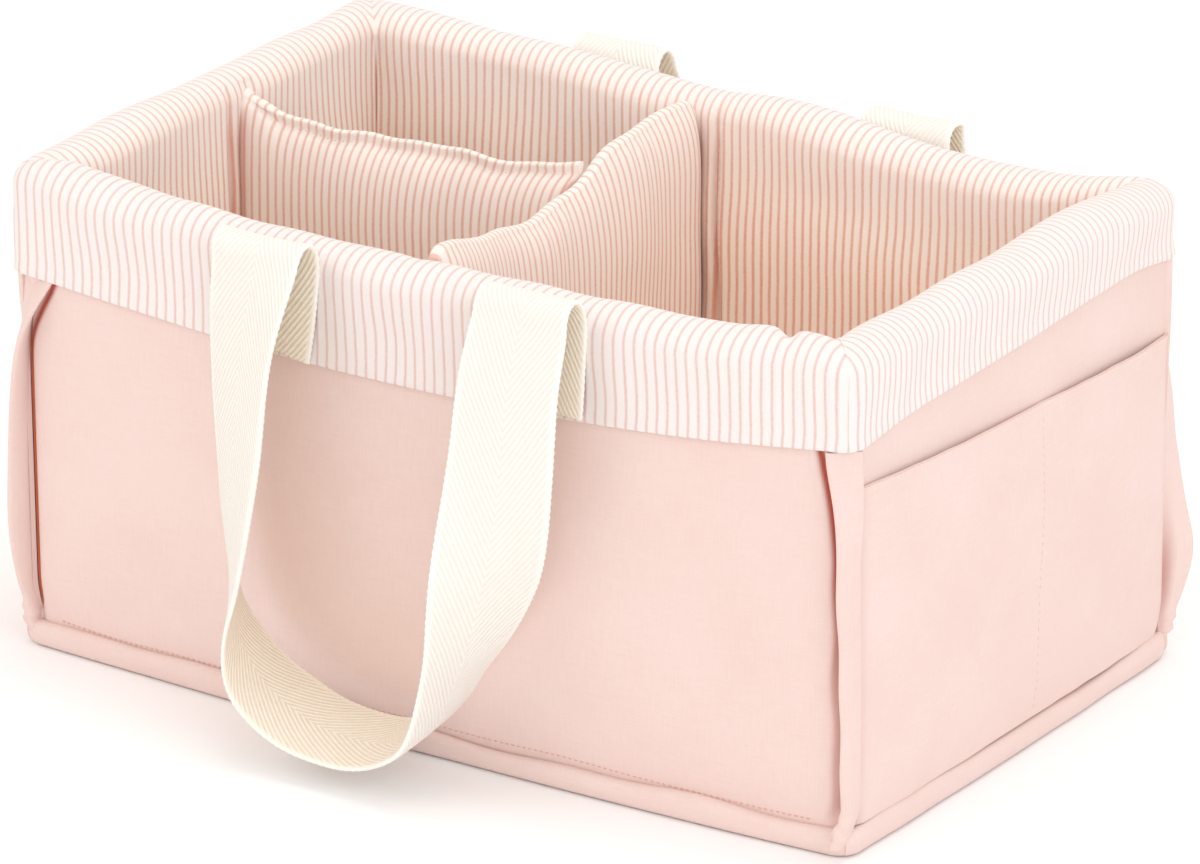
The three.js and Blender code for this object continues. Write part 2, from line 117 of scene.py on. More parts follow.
# Each wall in its own frame
# half, reach: half of its run, and its distance from the middle of the box
# bow, foot_bow: how far it bows out at the rim and at the foot
# crease: how far its panel dives into the corner seams
# dark: at each end, how wide the painted shade beside the fin is and how far it spreads
# slump, nips: how far its welt slumps under the panel, and where the rim is nipped besides its mitres
# turn, pitch, seed: quarter turns about Z, the pitch of its stripes, and a seed for its ripples
# seams, grooves: where dividers are sewn to its lining, and where the lining has grooves
# dips: how far the rim dips into each mitre
# ridge, hem: heights as (share of the run, height)
LONG_WALL = dict(half=HALF_LENGTH, reach=HALF_DEPTH, bow=3.0, crease=5.0)
END_WALL = dict(
    half=HALF_DEPTH, reach=HALF_LENGTH, bow=1.0, foot_bow=1.0, crease=0.0, dark=None, slump=0.0, nips=[]
)
WALLS = {
    "front": SimpleNamespace(
        **LONG_WALL, foot_bow=4.0, dark=((1.0, 0), (1.3, 0.67)), slump=0.9, nips=[141.0],
        turn=0, pitch=3.8, seed=11, seams=[DIVIDER_X], grooves=[], dips=(3.0, 0.8),
        ridge=[(-1, 170), (-0.6, 165.5), (-0.1, 165.2), (0.35, 165), (0.75, 166.5), (1, 168.5)],
        hem=[(-1, 132), (-0.7, 129), (-0.3, 125.8), (0, 125.5), (0.7, 131), (1, 136.5)],
    ),
    "right": SimpleNamespace(
        **END_WALL, turn=1, pitch=3.15, seed=12, seams=[], grooves=[], dips=(0.8, 1.2),
        ridge=[(-1, 168.5), (-0.4, 169), (0.2, 169.5), (0.6, 170.5), (1, 167)],
        hem=[(-1, 136.5), (-0.75, 139.5), (-0.4, 140.8), (0, 142), (0.5, 144), (0.8, 144), (1, 141.5)],
    ),
    "back": SimpleNamespace(
        **LONG_WALL, foot_bow=3.0, dark=((1.5, 0), (1.5, 0)), slump=0.5, nips=[],
        turn=2, pitch=3.3, seed=13, seams=[-DIVIDER_REAR_X], grooves=[7.6], dips=(1.2, 1.5),
        ridge=[
            (-1, 167), (-0.75, 161.5), (-0.5, 161), (-0.2, 166), (-0.05, 167), (0.1, 165.5),
            (0.4, 168), (0.7, 170.6), (1, 173),
        ],
        hem=[(-1, 141.5), (-0.4, 132), (0.3, 129), (1, 134)],
    ),
    "left": SimpleNamespace(
        **END_WALL, turn=3, pitch=3.3, seed=14, seams=[-LONG_LEFT_Y], grooves=[-1.0], dips=(1.5, 3.0),
        ridge=[(-1, 173), (-0.3, 171), (0.4, 171), (1, 170)],
        hem=[(-1, 134), (0, 129), (1, 132)],
    ),
}


def lerp(a, b, f):
    return a + (b - a) * f


def smooth(x, low, high):
    """Eased step from 0 at low to 1 at high."""
    f = np.clip((x - low) / (high - low), 0, 1)
    return f * f * (3 - 2 * f)


def hump(x, width):
    """Bell curve, 1 at zero."""
    return np.exp(-((x / width) ** 2))


def through(t, points):
    """Smooth curve through (share, value) points: cubics whose slopes follow their neighbours."""
    shares, values = np.array(points, float).T
    slopes = np.gradient(values, shares)
    k = np.clip(np.searchsorted(shares, t) - 1, 0, len(shares) - 2)
    span = shares[k + 1] - shares[k]
    f = np.clip((t - shares[k]) / span, 0, 1)
    start = values[k] * (1 + 2 * f) * (1 - f) ** 2 + slopes[k] * span * f * (1 - f) ** 2
    end = values[k + 1] * f**2 * (3 - 2 * f) + slopes[k + 1] * span * f**2 * (f - 1)
    return start + end


def ripples(x, y, length, seed):
    """Soft noise of about unit size: sines in seeded directions, about one wave to a length."""
    count = 7
    rng = np.random.default_rng(seed)
    heading = rng.uniform(0, 2 * np.pi, count)
    pitch = 2 * np.pi / (length * rng.uniform(0.7, 1.6, count))
    phase = rng.uniform(0, 2 * np.pi, count)
    waves = [np.sin(k * (x * np.cos(h) + y * np.sin(h)) + p) for h, k, p in zip(heading, pitch, phase)]
    return sum(waves) / math.sqrt(count / 2)


def circle(count):
    """Angles of a full turn in even steps."""
    return np.arange(count) / count * 2 * np.pi


def squarish(v, power):
    """A sine or cosine raised to a power with its sign kept: below 1 it makes a circle a rounded box."""
    return np.sign(v) * np.abs(v) ** power


def unit(rows):
    return rows / np.linalg.norm(rows, axis=-1, keepdims=True)


def chord(points):
    """Distance along a row of points."""
    return np.concatenate([[0], np.cumsum(np.linalg.norm(np.diff(points, axis=0), axis=1))])


def stack(*parts):
    """Points of arrays that hold one coordinate each."""
    return np.stack(np.broadcast_arrays(*parts), axis=-1)


def sample(at, length, rows):
    """Vectors at distances along a path, from rows of vectors at its points' own distances."""
    return stack(*(np.interp(at, length, column) for column in rows.T))


def closed(grid):
    """A grid whose rows end with their own first value."""
    return np.concatenate([grid, grid[:, :1]], axis=1)


# Meshes


def put(name, data):
    made = bpy.data.objects.new(name, data)
    bpy.context.scene.collection.objects.link(made)
    return made


def link(name, mesh, material):
    mesh.shade_smooth()
    mesh.set_sharp_from_angle(angle=math.radians(50))
    mesh.materials.append(material)
    return put(name, mesh)


def grid_faces(rows, cols):
    """Corner numbers of the quads of a grid whose rows close, and of its UV points, which stay apart."""
    index = closed(np.arange(rows * cols).reshape(rows, cols))
    uv_index = np.arange(index.size).reshape(index.shape)

    def quads(i):
        return stack(i[:-1, :-1], i[1:, :-1], i[1:, 1:], i[:-1, 1:]).reshape(-1, 4)

    return quads(index), quads(uv_index)


def inside_out(points, quads):
    """Whether a closed surface's faces point inward, from the sign of its volume."""
    a, b, c, d = (points[quads[:, i]] for i in range(4))
    return (np.cross(a, b) * c + np.cross(a, c) * d).sum() < 0


def tube(name, rings, uv, material, marks=None):
    """Closed solid through rings of points (ring, point, xyz), its two end rings capped.

    uv is a grid of (ring, point + 1), because the last column of faces ends where the first begins.
    marks are 0 to 1 at each point, by name: the warm mark is how deep it lies in the shade between the
    walls or inside a loop of webbing, where its colour is painted warmer and darker, and the crevice mark
    how deep it lies in a seam, crease or corner, where its colour is painted with shade.
    """
    rows, cols = rings.shape[:2]
    points = rings.reshape(-1, 3)
    quads, uv_quads = grid_faces(rows, cols)
    caps = [np.arange(cols)[::-1], np.arange(cols) + (rows - 1) * cols]
    if inside_out(points, quads):
        quads, uv_quads = quads[:, ::-1], uv_quads[:, ::-1]
        caps = [cap[::-1] for cap in caps]
    mesh = bpy.data.meshes.new(name)
    mesh.from_pydata((points * MM).tolist(), [], quads.tolist() + [cap.tolist() for cap in caps])
    layer = mesh.uv_layers.new(name="UVMap")
    side_uv = uv.reshape(-1, 2)[uv_quads.ravel()]
    cap_uv = np.concatenate([uv[row, :cols] for row in (0, -1)])
    layer.data.foreach_set("uv", np.concatenate([side_uv, cap_uv]).astype(np.float32).ravel())
    for label, values in (marks or {}).items():
        values = np.broadcast_to(values, (rows, cols)).astype(np.float32)
        mesh.attributes.new(label, "FLOAT", "POINT").data.foreach_set("value", values.ravel())
    return link(name, mesh, material)


def cloth_uv(along, a, b, pitch):
    """UVs of cloth: stripes of a pitch along its run, and its length round the section (a, b)."""
    along, a, b = (closed(v) for v in np.broadcast_arrays(along, a, b))
    girth = np.cumsum(np.hypot(np.diff(a, axis=1), np.diff(b, axis=1)), axis=1)
    return stack(along * STRIPE_PITCH / pitch, np.pad(girth, ((0, 0), (1, 0))))


def sewn(piece, slot, *nodes):
    """A finished piece rides on the body and hides the nodes of the frame that it stands for; slot is not
    used.
    """
    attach(piece, "caddy_body")
    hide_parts(*nodes)


# Walls


def place(wall, along, out, z):
    """Place of a point of a wall: along its run, out from the middle of the box, and up."""
    c, s = math.cos(wall.turn * math.pi / 2), math.sin(wall.turn * math.pi / 2)
    return stack(c * along + s * out, s * along - c * out, z)


def stations(wall, step, wrap=math.pi / 4, fine=8):
    """Steps along a wall: t runs from -1 to 1 on the straight, angle turns on the corners' arcs.

    Steps are even, with closer ones at the grooves, the nips and a fine stretch at the ends. end is the
    distance left to the end of the wall, where it meets its neighbour.
    """
    run = wall.half - CORNER_RADIUS
    reach = run + CORNER_RADIUS * wrap
    even = np.linspace(-reach, reach, round(2 * reach / step) + 1)
    close = [place_at + np.linspace(-4, 4, 13) for place_at in (*wall.grooves, *wall.nips)]
    near = reach - np.arange(0, fine, 0.7)
    s = np.unique(np.round(np.concatenate([even, near, -near, *close]), 2))[:, None]
    angle = np.sign(s) * np.maximum(np.abs(s) - run, 0) / CORNER_RADIUS
    return SimpleNamespace(s=s, t=np.clip(s / run, -1, 1), angle=angle, end=reach - np.abs(s))


def bays(t, edges):
    """Hump over each stretch between neighbouring edges, 1 at its middle and 0 at its ends."""
    edges = np.array(edges)
    k = np.clip(np.searchsorted(edges, t) - 1, 0, len(edges) - 2)
    return 4 * (t - edges[k]) * (edges[k + 1] - t) / (edges[k + 1] - edges[k]) ** 2


def swell(z, low, high):
    return np.sin(np.pi * np.clip((z - low) / (high - low), 0, 1))


def draw_in(z):
    """How far the outer cloth is drawn in just above the foot."""
    return FOOT_DRAW_IN * np.maximum(0, 1 - z / FOOT_HEIGHT) ** 2


def soft_wall(wall, st, depth, z):
    """Along, out and cloth distance of a point at a depth inside the cuff's face and at a height.

    The plan is the box with rounded corners, shrunk by the depth. The outer layers crown, wave a
    little, draw in at the foot and dive into the corner seams, and the inner ones crown between seams.
    """
    inner = np.clip((depth - PAD_FACE) / (PAD_BACK - PAD_FACE), 0, 1)
    drawn = depth + draw_in(z) * (1 - inner)
    radius = lerp(CORNER_RADIUS, INNER_RADIUS, np.clip(depth / WALL, 0, 1))
    run = wall.half + MITRE_LAP - drawn - radius
    hem = through(st.t, wall.hem)
    up = swell(z, WELT_HEIGHT, hem)
    middle = 1 - st.t**4
    outer = PANEL_CROWN * middle * up + 0.8 * middle * up * ripples(st.s, z, 95, wall.seed)
    outer = outer + wall.foot_bow * (1 - st.t**2) * np.maximum(0, 1 - z / 70) ** 2
    seams = [-1, *(seam / (wall.half - WALL) for seam in wall.seams), 1]
    lining = LINING_CROWN * bays(st.t, seams) * swell(z, FLOOR, HEIGHT - WALL / 2)
    lining = lining + 0.5 * ripples(st.s, z, 60, wall.seed + 20) * swell(z, FLOOR, HEIGHT)
    for seam in wall.seams:
        lining = lining - 3.2 * hump(st.t * run - seam, 5) * swell(z, FLOOR, HEIGHT) ** 0.3
    for groove in wall.grooves:
        wander = groove + 1.2 * np.sin(z / 17) - st.t * run
        lining = lining - 2.6 * hump(wander, 1.3) * swell(z, FLOOR, HEIGHT) ** 0.3
    bow = wall.bow * (1 - st.t**2) * z / HEIGHT
    pull = wall.crease * (1 - inner) * smooth(hem - z, 0.8, 5) * smooth(z, *CREASE_BEGINS)
    along = st.t * run + radius * np.sin(st.angle)
    out = wall.reach - drawn - radius * (1 - np.cos(st.angle)) + bow + outer * (1 - inner) - lining * inner
    out = out - pull * (0.3 * hump(st.end, 12) + 0.7 * hump(st.end, 3.5))
    return along, out, st.t * run + radius * (st.angle + np.sin(st.angle)) / 2


def run_of(points, count):
    """Straight runs through corner points ((depth, height) arrays), each in count[i] steps."""
    legs = []
    for (d0, z0), (d1, z1), steps in zip(points, points[1:], count):
        f = np.arange(steps) / steps
        legs.append((lerp(d0, d1, f), lerp(z0, z1, f)))
    return legs


def carried(name, wall, st, legs, material, marks):
    """Closed solid of a (depth, height) profile carried along a wall, with its cloth laid out as UVs."""
    depth, z = (
        np.concatenate([np.broadcast_to(leg, (len(st.s), leg.shape[-1])) for leg in part], axis=1)
        for part in zip(*legs)
    )
    along, out, length = soft_wall(wall, st, depth, z)
    uv = cloth_uv(length, depth, z, wall.pitch)
    return tube(name, place(wall, along, out, z), uv, material, marks(depth, z))


def wall_pad(side, material):
    """Padded wall in one striped cloth: up the inside, over the rolled rim and down to the cuff's hem.

    The profile goes on behind the cuff, round the slot that takes the outer panel's top, and down the
    back of the panel to the foot, so the pad is one closed form.
    """
    wall = WALLS[side]
    st = stations(wall, 2.2)
    ridge = through(st.t, wall.ridge)
    hem = through(st.t, wall.hem)
    half = WALL / 2
    shoulder = ridge - half
    foot = FLOOR - FABRIC
    dip = np.where(st.s < 0, *wall.dips) * hump(st.end, 6.5)
    dip = dip + sum(4.5 * hump(st.s - nip, 3.0) - 1.0 * hump(st.s - nip + 9, 6) for nip in wall.nips)
    proud = ROLL_PROUD * (1 + 0.5 * ripples(st.s, 0, 70, wall.seed + 5)) * (1 - hump(st.end, 10))
    inside_z = lerp(foot, shoulder, np.arange(56) / 56)
    inside = (WALL + proud * smooth(inside_z, shoulder - 22, shoulder), inside_z)
    turn = np.arange(24) / 24 * np.pi
    over = half * np.sin(turn) * (1 + 0.04 * ripples(st.s, 0, 45, wall.seed + 6))
    roll = (
        half + (half + proud) * np.cos(turn) * (1 + 0.05 * hump(st.end, 4) * np.maximum(np.cos(turn), 0)),
        shoulder + over - dip * np.sin(turn) * (0.5 + 0.5 * np.cos(turn)),
    )
    fall = np.arange(18) / 18
    cuff_z = lerp(shoulder, hem, fall)
    cuff = -proud * smooth(cuff_z, shoulder - 20, shoulder) - 0.5 * hump(cuff_z - hem, 3)
    cuff = cuff + 0.25 * ripples(st.s, cuff_z * 0.3, 22, wall.seed + 7) * swell(fall, 0, 1)
    turn = np.arange(6) / 6 * np.pi
    bead = FABRIC / 2 + 0.5 * (1 + np.cos(turn)) / 2
    fold = (FABRIC / 2 - bead * np.cos(turn), hem - 0.8 * np.sin(turn))
    hidden = run_of(
        [
            (FABRIC, hem), (FABRIC, CUFF_JOIN), (PAD_FACE, CUFF_JOIN), (PAD_FACE, PANEL_FOOT),
            (PAD_BACK, PANEL_FOOT), (PAD_BACK, foot - CLEARANCE), (WALL, foot),
        ],
        [8, 3, 40, 5, 3, 2],
    )

    def marks(depth, z):
        lining = np.clip((depth - half) / half, 0, 1)
        along = st.t * (wall.half - WALL - INNER_RADIUS)
        seam = hump(st.end, 1.1) + sum(hump(along - at, 3.0) for at in wall.seams)
        seam = seam + 0.5 * sum(hump(along - at, 1.8) for at in wall.grooves)
        # Painted shade: the lining is painted warmer and darker the lower it lies between the walls, dark
        # at its inner corners and beside the dividers' seams, and the pad's hidden strip behind the cuff's
        # hem is painted fully dark where it shows in the gap.
        dark = 0.75 * lining * np.minimum(seam, 1) * smooth(shoulder - z, 0, 14)
        return {
            "painted_warm_shade": lining * lerp(0.45, 1, smooth(shoulder + 4 - z, 0, 45)),
            "painted_crevice_shade": np.where((depth < half) & (z < hem - 1), 1, dark),
        }

    legs = [inside, roll, (cuff, cuff_z), fold, *hidden]
    piece = carried(f"{side}_wall_pad", wall, st, legs, material, marks)
    sewn(piece, "striped_cotton", f"lining_{side}", f"{side}_wall_padding")


def wall_sheet(name, node, under, wall, st, layer, foot, top, rows, shade, material):
    """Cotton sheet on a wall, from its foot to its top; under, the piece it lies over, is not used.

    layer gives the depths of its face and its back at heights, and shade how dark it is there.
    """
    z = lerp(foot + 0 * st.s, top, np.arange(rows + 1) / rows)
    face, back = layer(z)
    legs = [(face, z), (np.flip(back, axis=-1), np.flip(z, axis=-1))]
    piece = carried(name, wall, st, legs, material, lambda _, z: {"painted_crevice_shade": shade(z)})
    sewn(piece, "pink_cotton", node)


def end_shade(st):
    """Soft shade where the cloth of an end wall turns in beside the fins."""
    return 0.2 * hump(st.end, 3.5)


def outer_panel(side, material):
    """Pink cotton panel from the foot up to its tuck under the cuff, finer where fins mark it."""
    wall = WALLS[side]
    fine, rows = (22, 110) if wall.dark else (8, 64)
    st = stations(wall, 2.5, fine=fine)

    def layer(z):
        return PANEL_FACE + 0 * z, PANEL_FACE + FABRIC + 0 * z

    def shade(z):
        return beside_fins(wall, st, z) if wall.dark else end_shade(st)

    names = f"{side}_panel", f"outer_{side}_panel", f"{side}_wall_pad"
    wall_sheet(*names, wall, st, layer, PANEL_FOOT, PANEL_TOP, rows, shade, material)


# The patch pockets' mouths as (share of the run, height), and the share where the middle seam is sewn
POCKET_MOUTH = {
    "right": [(-1, 123), (-0.5, 121), (0, 119), (0.5, 117), (1, 115)],
    "left": [(-1, 115), (0, 118), (1, 121)],
}
POCKET_SEAM = 0.1
POCKET_BELLY = 1.1
POCKET_WRAP = math.radians(18)


def pocket(side, material):
    """Patch pocket on an end wall: slack towards its mouth between its seams, with a thicker turned hem."""
    wall = WALLS[side]
    st = stations(wall, 2.0, POCKET_WRAP)
    mouth = through(st.t, POCKET_MOUTH[side])
    thin = FABRIC * lerp(0.25, 1, smooth(st.end, 0, 5))
    pouches = bays(st.t, [-1, POCKET_SEAM, 1])

    def layer(z):
        rise = np.clip((z - POCKET_FOOT) / (mouth - POCKET_FOOT), 0, 1)
        soft = 0.35 * ripples(st.s, z, 40, wall.seed + 30) * pouches
        back = PANEL_FACE - CLEARANCE - POCKET_BELLY * pouches * rise**1.6 - np.abs(soft)
        return back - thin - 0.3 * smooth(z, mouth - 3, mouth - 1), back

    names = f"{side}_pocket", f"pocket_{side}", f"{side}_panel"
    wall_sheet(*names, wall, st, layer, POCKET_FOOT, mouth, 60, lambda z: end_shade(st), material)


def base_welt(side, material):
    """Rolled welt at the foot: a soft flattened tube of cotton, a little uneven along its run.

    Its plan has round corners and bows out at the middle of the wall.
    """
    wall = WALLS[side]
    st = stations(wall, 2.0)
    turn = circle(20)
    wide = 2.5 + 0.25 * ripples(st.s, 0, 45, wall.seed + 40)
    tall = WELT_HEIGHT / 2 - 0.1 + 0.25 * ripples(st.s, 0, 60, wall.seed + 41)
    tall = tall - wall.slump * hump(st.s - 35, 32)
    depth = 2.5 - wide * squarish(np.cos(turn), 0.8)
    z = tall + tall * squarish(np.sin(turn), 0.8)
    radius = np.maximum(CORNER_RADIUS - depth * 0.3, 3)
    run = wall.half + MITRE_LAP - depth - radius
    along = st.t * run + radius * np.sin(st.angle)
    out = wall.reach - depth - radius * (1 - np.cos(st.angle)) + wall.foot_bow * (1 - st.t**2)
    uv = stack(closed(st.t * run + radius * st.angle), np.linspace(0, 24, 21))
    piece = tube(f"{side}_welt", place(wall, along, out, z), uv, material)
    sewn(piece, "pink_cotton", f"base_welt_{side}")


# Corner fins: the pinched seams at the upright corners, seen from the long wall that carries them.
# side is +1 at the wall's right end, shade how dark the fold's inside is low down; widths, and leans from
# straight out in degrees, go from the foot to the top.
FINS = {
    "front_left": SimpleNamespace(
        wall="front", side=-1, seed=51, shade=0,
        widths=[(0, 6), (0.12, 10), (0.6, 11.5), (0.8, 13), (1, 19)],
        leans=[(0, -4), (0.6, 0), (0.8, 16), (1, 64)],
    ),
    "front_right": SimpleNamespace(
        wall="front", side=1, seed=52, shade=0,
        widths=[(0, 11), (0.6, 11.5), (1, 10.8)],
        leans=[(0, -8), (0.5, -3), (0.8, 6), (1, 36)],
    ),
    "back_left": SimpleNamespace(
        wall="back", side=1, seed=53, shade=0,
        widths=[(0, 7), (0.12, 10), (0.6, 12), (1, 15)],
        leans=[(0, -6), (0.5, 0), (0.8, 16), (1, 64)],
    ),
    "back_right": SimpleNamespace(
        wall="back", side=-1, seed=54, shade=0.6,
        widths=[(0, 7), (0.2, 15.5), (0.45, 12), (1, 11)],
        leans=[(0, 0), (0.2, -18), (0.45, -4), (1, 56)],
    ),
}
FIN_THICKNESS = 3.2
FIN_FOOT = WELT_HEIGHT - 4
# How much thicker a fin's root is on the panel's side, and on the other side where it leans
ROOT_INSIDE = 2.4
ROOT_OUTSIDE = 2.6


def fin_form(fin, z):
    """Width and lean of a fin at a height, and its root's distances in from the wall's end and face."""
    wall = WALLS[fin.wall]
    f = np.clip((z - FIN_FOOT) / (fin_top(fin) - FIN_FOOT), 0, 1)
    width = through(f, fin.widths) * (1 + 0.04 * ripples(z, 0, 32, fin.seed))
    depth = PANEL_FACE + draw_in(z)
    inset = depth + CORNER_RADIUS * (1 - math.sqrt(0.5)) + 0.95 * wall.crease * smooth(z, *CREASE_BEGINS)
    return width, np.radians(through(f, fin.leans)), depth + 0.8, inset


def fin_top(fin):
    return through(fin.side * 0.97, WALLS[fin.wall].hem) - 0.6


def beside_fins(wall, st, z):
    """Painted shade on a long wall's panel: a dark line beside the fold of the fin at each end, where the
    fin shades the panel.
    """
    from_end = (wall.half - PANEL_FACE - CORNER_RADIUS) * (1 - np.abs(st.t)) + PANEL_FACE
    from_end = from_end + CORNER_RADIUS * (1 - np.sin(np.abs(st.angle)))
    line = 0
    for fin in FINS.values():
        if WALLS[fin.wall] is wall:
            width, lean, aside, inset = fin_form(fin, z)
            wide, spread = wall.dark[(fin.side + 1) // 2]
            over = np.maximum(width * np.cos(lean) - inset + 3, 0)
            fold = aside + 1.2 + np.maximum(width * np.sin(lean), 0) + spread * over
            fade = smooth(z, 8, 18) * lerp(1, smooth(z, 30, 110), min(spread, 1))
            aside = np.maximum(np.abs(from_end - fold) - 0.4, 0)
            line = line + (fin.side * st.s > 0) * fade * hump(aside, wide)
    return line


def corner_fin(name, material):
    """Pinched seam: a folded edge of cotton that rises from the corner seam and is round at its fold.

    Its width and lean change with height, it wavers a little, and it bunches up at the foot.
    """
    fin = FINS[name]
    wall = WALLS[fin.wall]
    top = fin_top(fin)
    z = np.linspace(FIN_FOOT, top, 120)[:, None]
    width, lean, aside, inset = fin_form(fin, z)
    bunch = hump(z - WELT_HEIGHT - 1, 5)
    sway = 0.3 * ripples(z, 0, 55, fin.seed + 10) * smooth(top - z, 0, 25) + 0.7 * bunch * np.sin(z * 1.3)
    c, s = np.cos(circle(24)), np.sin(circle(24))
    across = width / 2 * (1 - c)
    share = across / width
    round_side = np.sign(s) * np.where(c > 0, s != 0, np.abs(s) ** 0.7)
    thick = FIN_THICKNESS / 2 * round_side * (1 + 0.9 * bunch * share) + sway * share
    thick = thick + ROOT_INSIDE * (s > 0.01) * np.maximum(0, 1 - share / 0.25)
    flare = ROOT_OUTSIDE * np.maximum(np.sin(lean), 0)
    thick = thick - flare * (s < -0.01) * np.maximum(0, 1 - share / 0.5)
    inward = across * np.sin(lean) + thick * np.cos(lean)
    outward = across * np.cos(lean) - thick * np.sin(lean)
    rings = place(wall, fin.side * (wall.half - aside - inward), wall.reach - inset + outward, z)
    uv = stack(np.linspace(0, 24, 25), z)
    # Painted shade: dark on the fin's inner face near its root, and for a fin with shade, dark inside its
    # fold low down.
    painted_crevice_shade = (s > 0) * (1 - smooth(share, 0.12, 0.4)) * smooth(z, 10, 20)
    painted_crevice_shade = painted_crevice_shade + fin.shade * (s < 0) * (1 - smooth(share, 0.1, 0.55)) * hump(z - 30, 20)
    piece = tube(f"{name}_fin", rings, uv, material, {"painted_crevice_shade": painted_crevice_shade})
    sewn(piece, "pink_cotton", f"corner_welt_{name}")
    flat = (max(float(np.mean(width)), 10.5) * MM, float(np.ptp(z)) * MM)


# Base


def rounded_plate(name, inset, foot, top, material, crown=0.0):
    """Flat cloth or pad with round corners, set in from the box's sides, crowned and rippled on top.

    Rings grow from the middle of the underside to the outline, then shrink over the top to the middle.
    """
    turn = np.linspace(0, 2 * np.pi, 241)[:-1]
    x = (HALF_LENGTH - inset) * squarish(np.cos(turn), 2 / 14)
    y = (HALF_DEPTH - inset) * squarish(np.sin(turn), 2 / 14)
    shrink = np.concatenate([np.linspace(0.02, 1, 30), np.linspace(1, 0.02, 30)])[:, None]
    upper = np.arange(60)[:, None] >= 30
    px, py = x * shrink, y * shrink
    swollen = crown * (1 - shrink**6) * (1 + 0.35 * ripples(px, py, 70, 60))
    rings = stack(px, py, np.where(upper, top - crown + swollen, foot))
    # The whole plate is marked as lying deep, so the striped pad takes its painted warm shade colours.
    return tube(name, rings, closed(rings[..., :2]), material, {"painted_warm_shade": 1.0})


def base(pink, lining):
    """The cotton underneath, and the striped pad on the floor of the bays."""
    inset = PANEL_FACE + FOOT_DRAW_IN
    piece = rounded_plate("outer_base", inset, 0.0, FABRIC, pink)
    sewn(piece, "pink_cotton", "outer_base_panel")
    foot = box("base_padding")[0][2]
    piece = rounded_plate("base_pad", WALL + CLEARANCE, foot, FLOOR, lining, crown=1.0)
    sewn(piece, "striped_cotton", "lining_base", "base_padding")


# Dividers: tops as (place along, height), and the cross divider's line as (place along, sideways)
CROSS_TOP = [
    (-86, 166.5), (-74, 164.8), (-64.7, 162.2), (-41, 156.4), (-20, 152.4), (-5, 152), (6, 153.8),
    (21, 157.8), (33, 160.8), (46, 162.4), (58, 162.6), (70, 162.3), (80, 161.8), (89, 161.2),
]
CROSS_LINE = [(-83, 1), (-60, -4), (-20, -11), (20, -15), (50, -18), (83, -19.5)]
LONG_TOP = [
    (0, 164), (0.04, 161.6), (0.1, 159.6), (0.275, 156.6), (0.48, 157.4), (0.62, 158), (0.72, 157),
    (0.83, 155.6), (0.92, 159), (1, 160.4),
]
CROSS_REACH = HALF_DEPTH - WALL + 2.5
LONG_RUN = 132.0


def pad_half(below_top, above_foot, from_end, along, lip, seed):
    """Half thickness of a divider: a lip at its top, then a pad that swells and thins to its seams.

    lip is (height, half thickness). Stitches under a lip draw the cloth in, and puckers run down from it.
    """
    height, thin = lip
    under = np.maximum(below_top - height, 0)
    grow = (1 - np.exp(-under / 6)) * (1 - np.exp(-above_foot / 12)) * (1 - np.exp(-from_end / 3))
    wave = np.sin(2 * np.pi * along / 9 + 2.5 * ripples(along, 0, 60, seed))
    pucker = 0.6 * wave * (0.5 + 0.5 * ripples(along, 0, 35, seed + 3)) * np.exp(-under / 9)
    pad = (DIVIDER_THICKNESS / 2 - thin) * grow * (1 + 0.08 * ripples(along, below_top, 55, seed + 1))
    drawn = 0.3 * thin * hump(below_top - height, 0.9) * np.sign(height)
    return thin - drawn + pad + pucker * smooth(under, 0, 4) * smooth(from_end, 2, 10)


def divider_rings(top, half, sideways):
    """Rings across a divider: up one face, over the round edge of the lip and down the other face.

    half and sideways are functions of height; the rings are (station, point) arrays of offset and height.
    """
    rise = 1 - (1 - np.linspace(0, 1, 60)) ** 1.4
    z = lerp(FLOOR + CLEARANCE, top, rise)
    edge = half(z[:, -1:])
    turn = np.linspace(0, np.pi, 7)[1:-1]
    cap_z = top + edge * 0.7 * np.sin(turn)
    z_all = np.concatenate([z, cap_z, z[:, ::-1]], axis=1)
    offset = np.concatenate([half(z), edge * np.cos(turn), -half(z)[:, ::-1]], axis=1)
    return offset + sideways(np.minimum(z_all, top)), z_all


def cross_top(y):
    return through(y, CROSS_TOP) + 0.5 * ripples(y, 0, 26, 74)


def cross_half(y, z, top):
    return pad_half(top - z, z - FLOOR, CROSS_REACH - np.abs(y), y, (0.0, 2.4), 71)


def cross_sideways(y, z):
    """X of the cross divider's middle: on a straight line at the foot, leaning over towards its top."""
    line = through(y, CROSS_LINE) + 0.8 * ripples(y, 0, 34, 75)
    foot = lerp(DIVIDER_X, DIVIDER_REAR_X, 0.5 + 0.5 * y / (HALF_DEPTH - WALL))
    return lerp(foot, line, np.clip(z / HEIGHT, 0, 1) ** 1.5)


def divider(name, rings, material, across, along, pitch, depth, painted_crevice_shade):
    """Padded divider from its rings, whose thickness lies on the axis across; painted warmer and darker the
    deeper it lies, as shade between the walls.
    """
    marks = {"painted_warm_shade": 0.5 + 0.4 * smooth(depth, 0, 60), "painted_crevice_shade": painted_crevice_shade}
    uv = cloth_uv(along, rings[..., across], rings[..., 2], pitch)
    piece = tube(name, rings, uv, material, marks)
    sewn(piece, "striped_cotton", f"{name}_cover", f"{name}_padding")


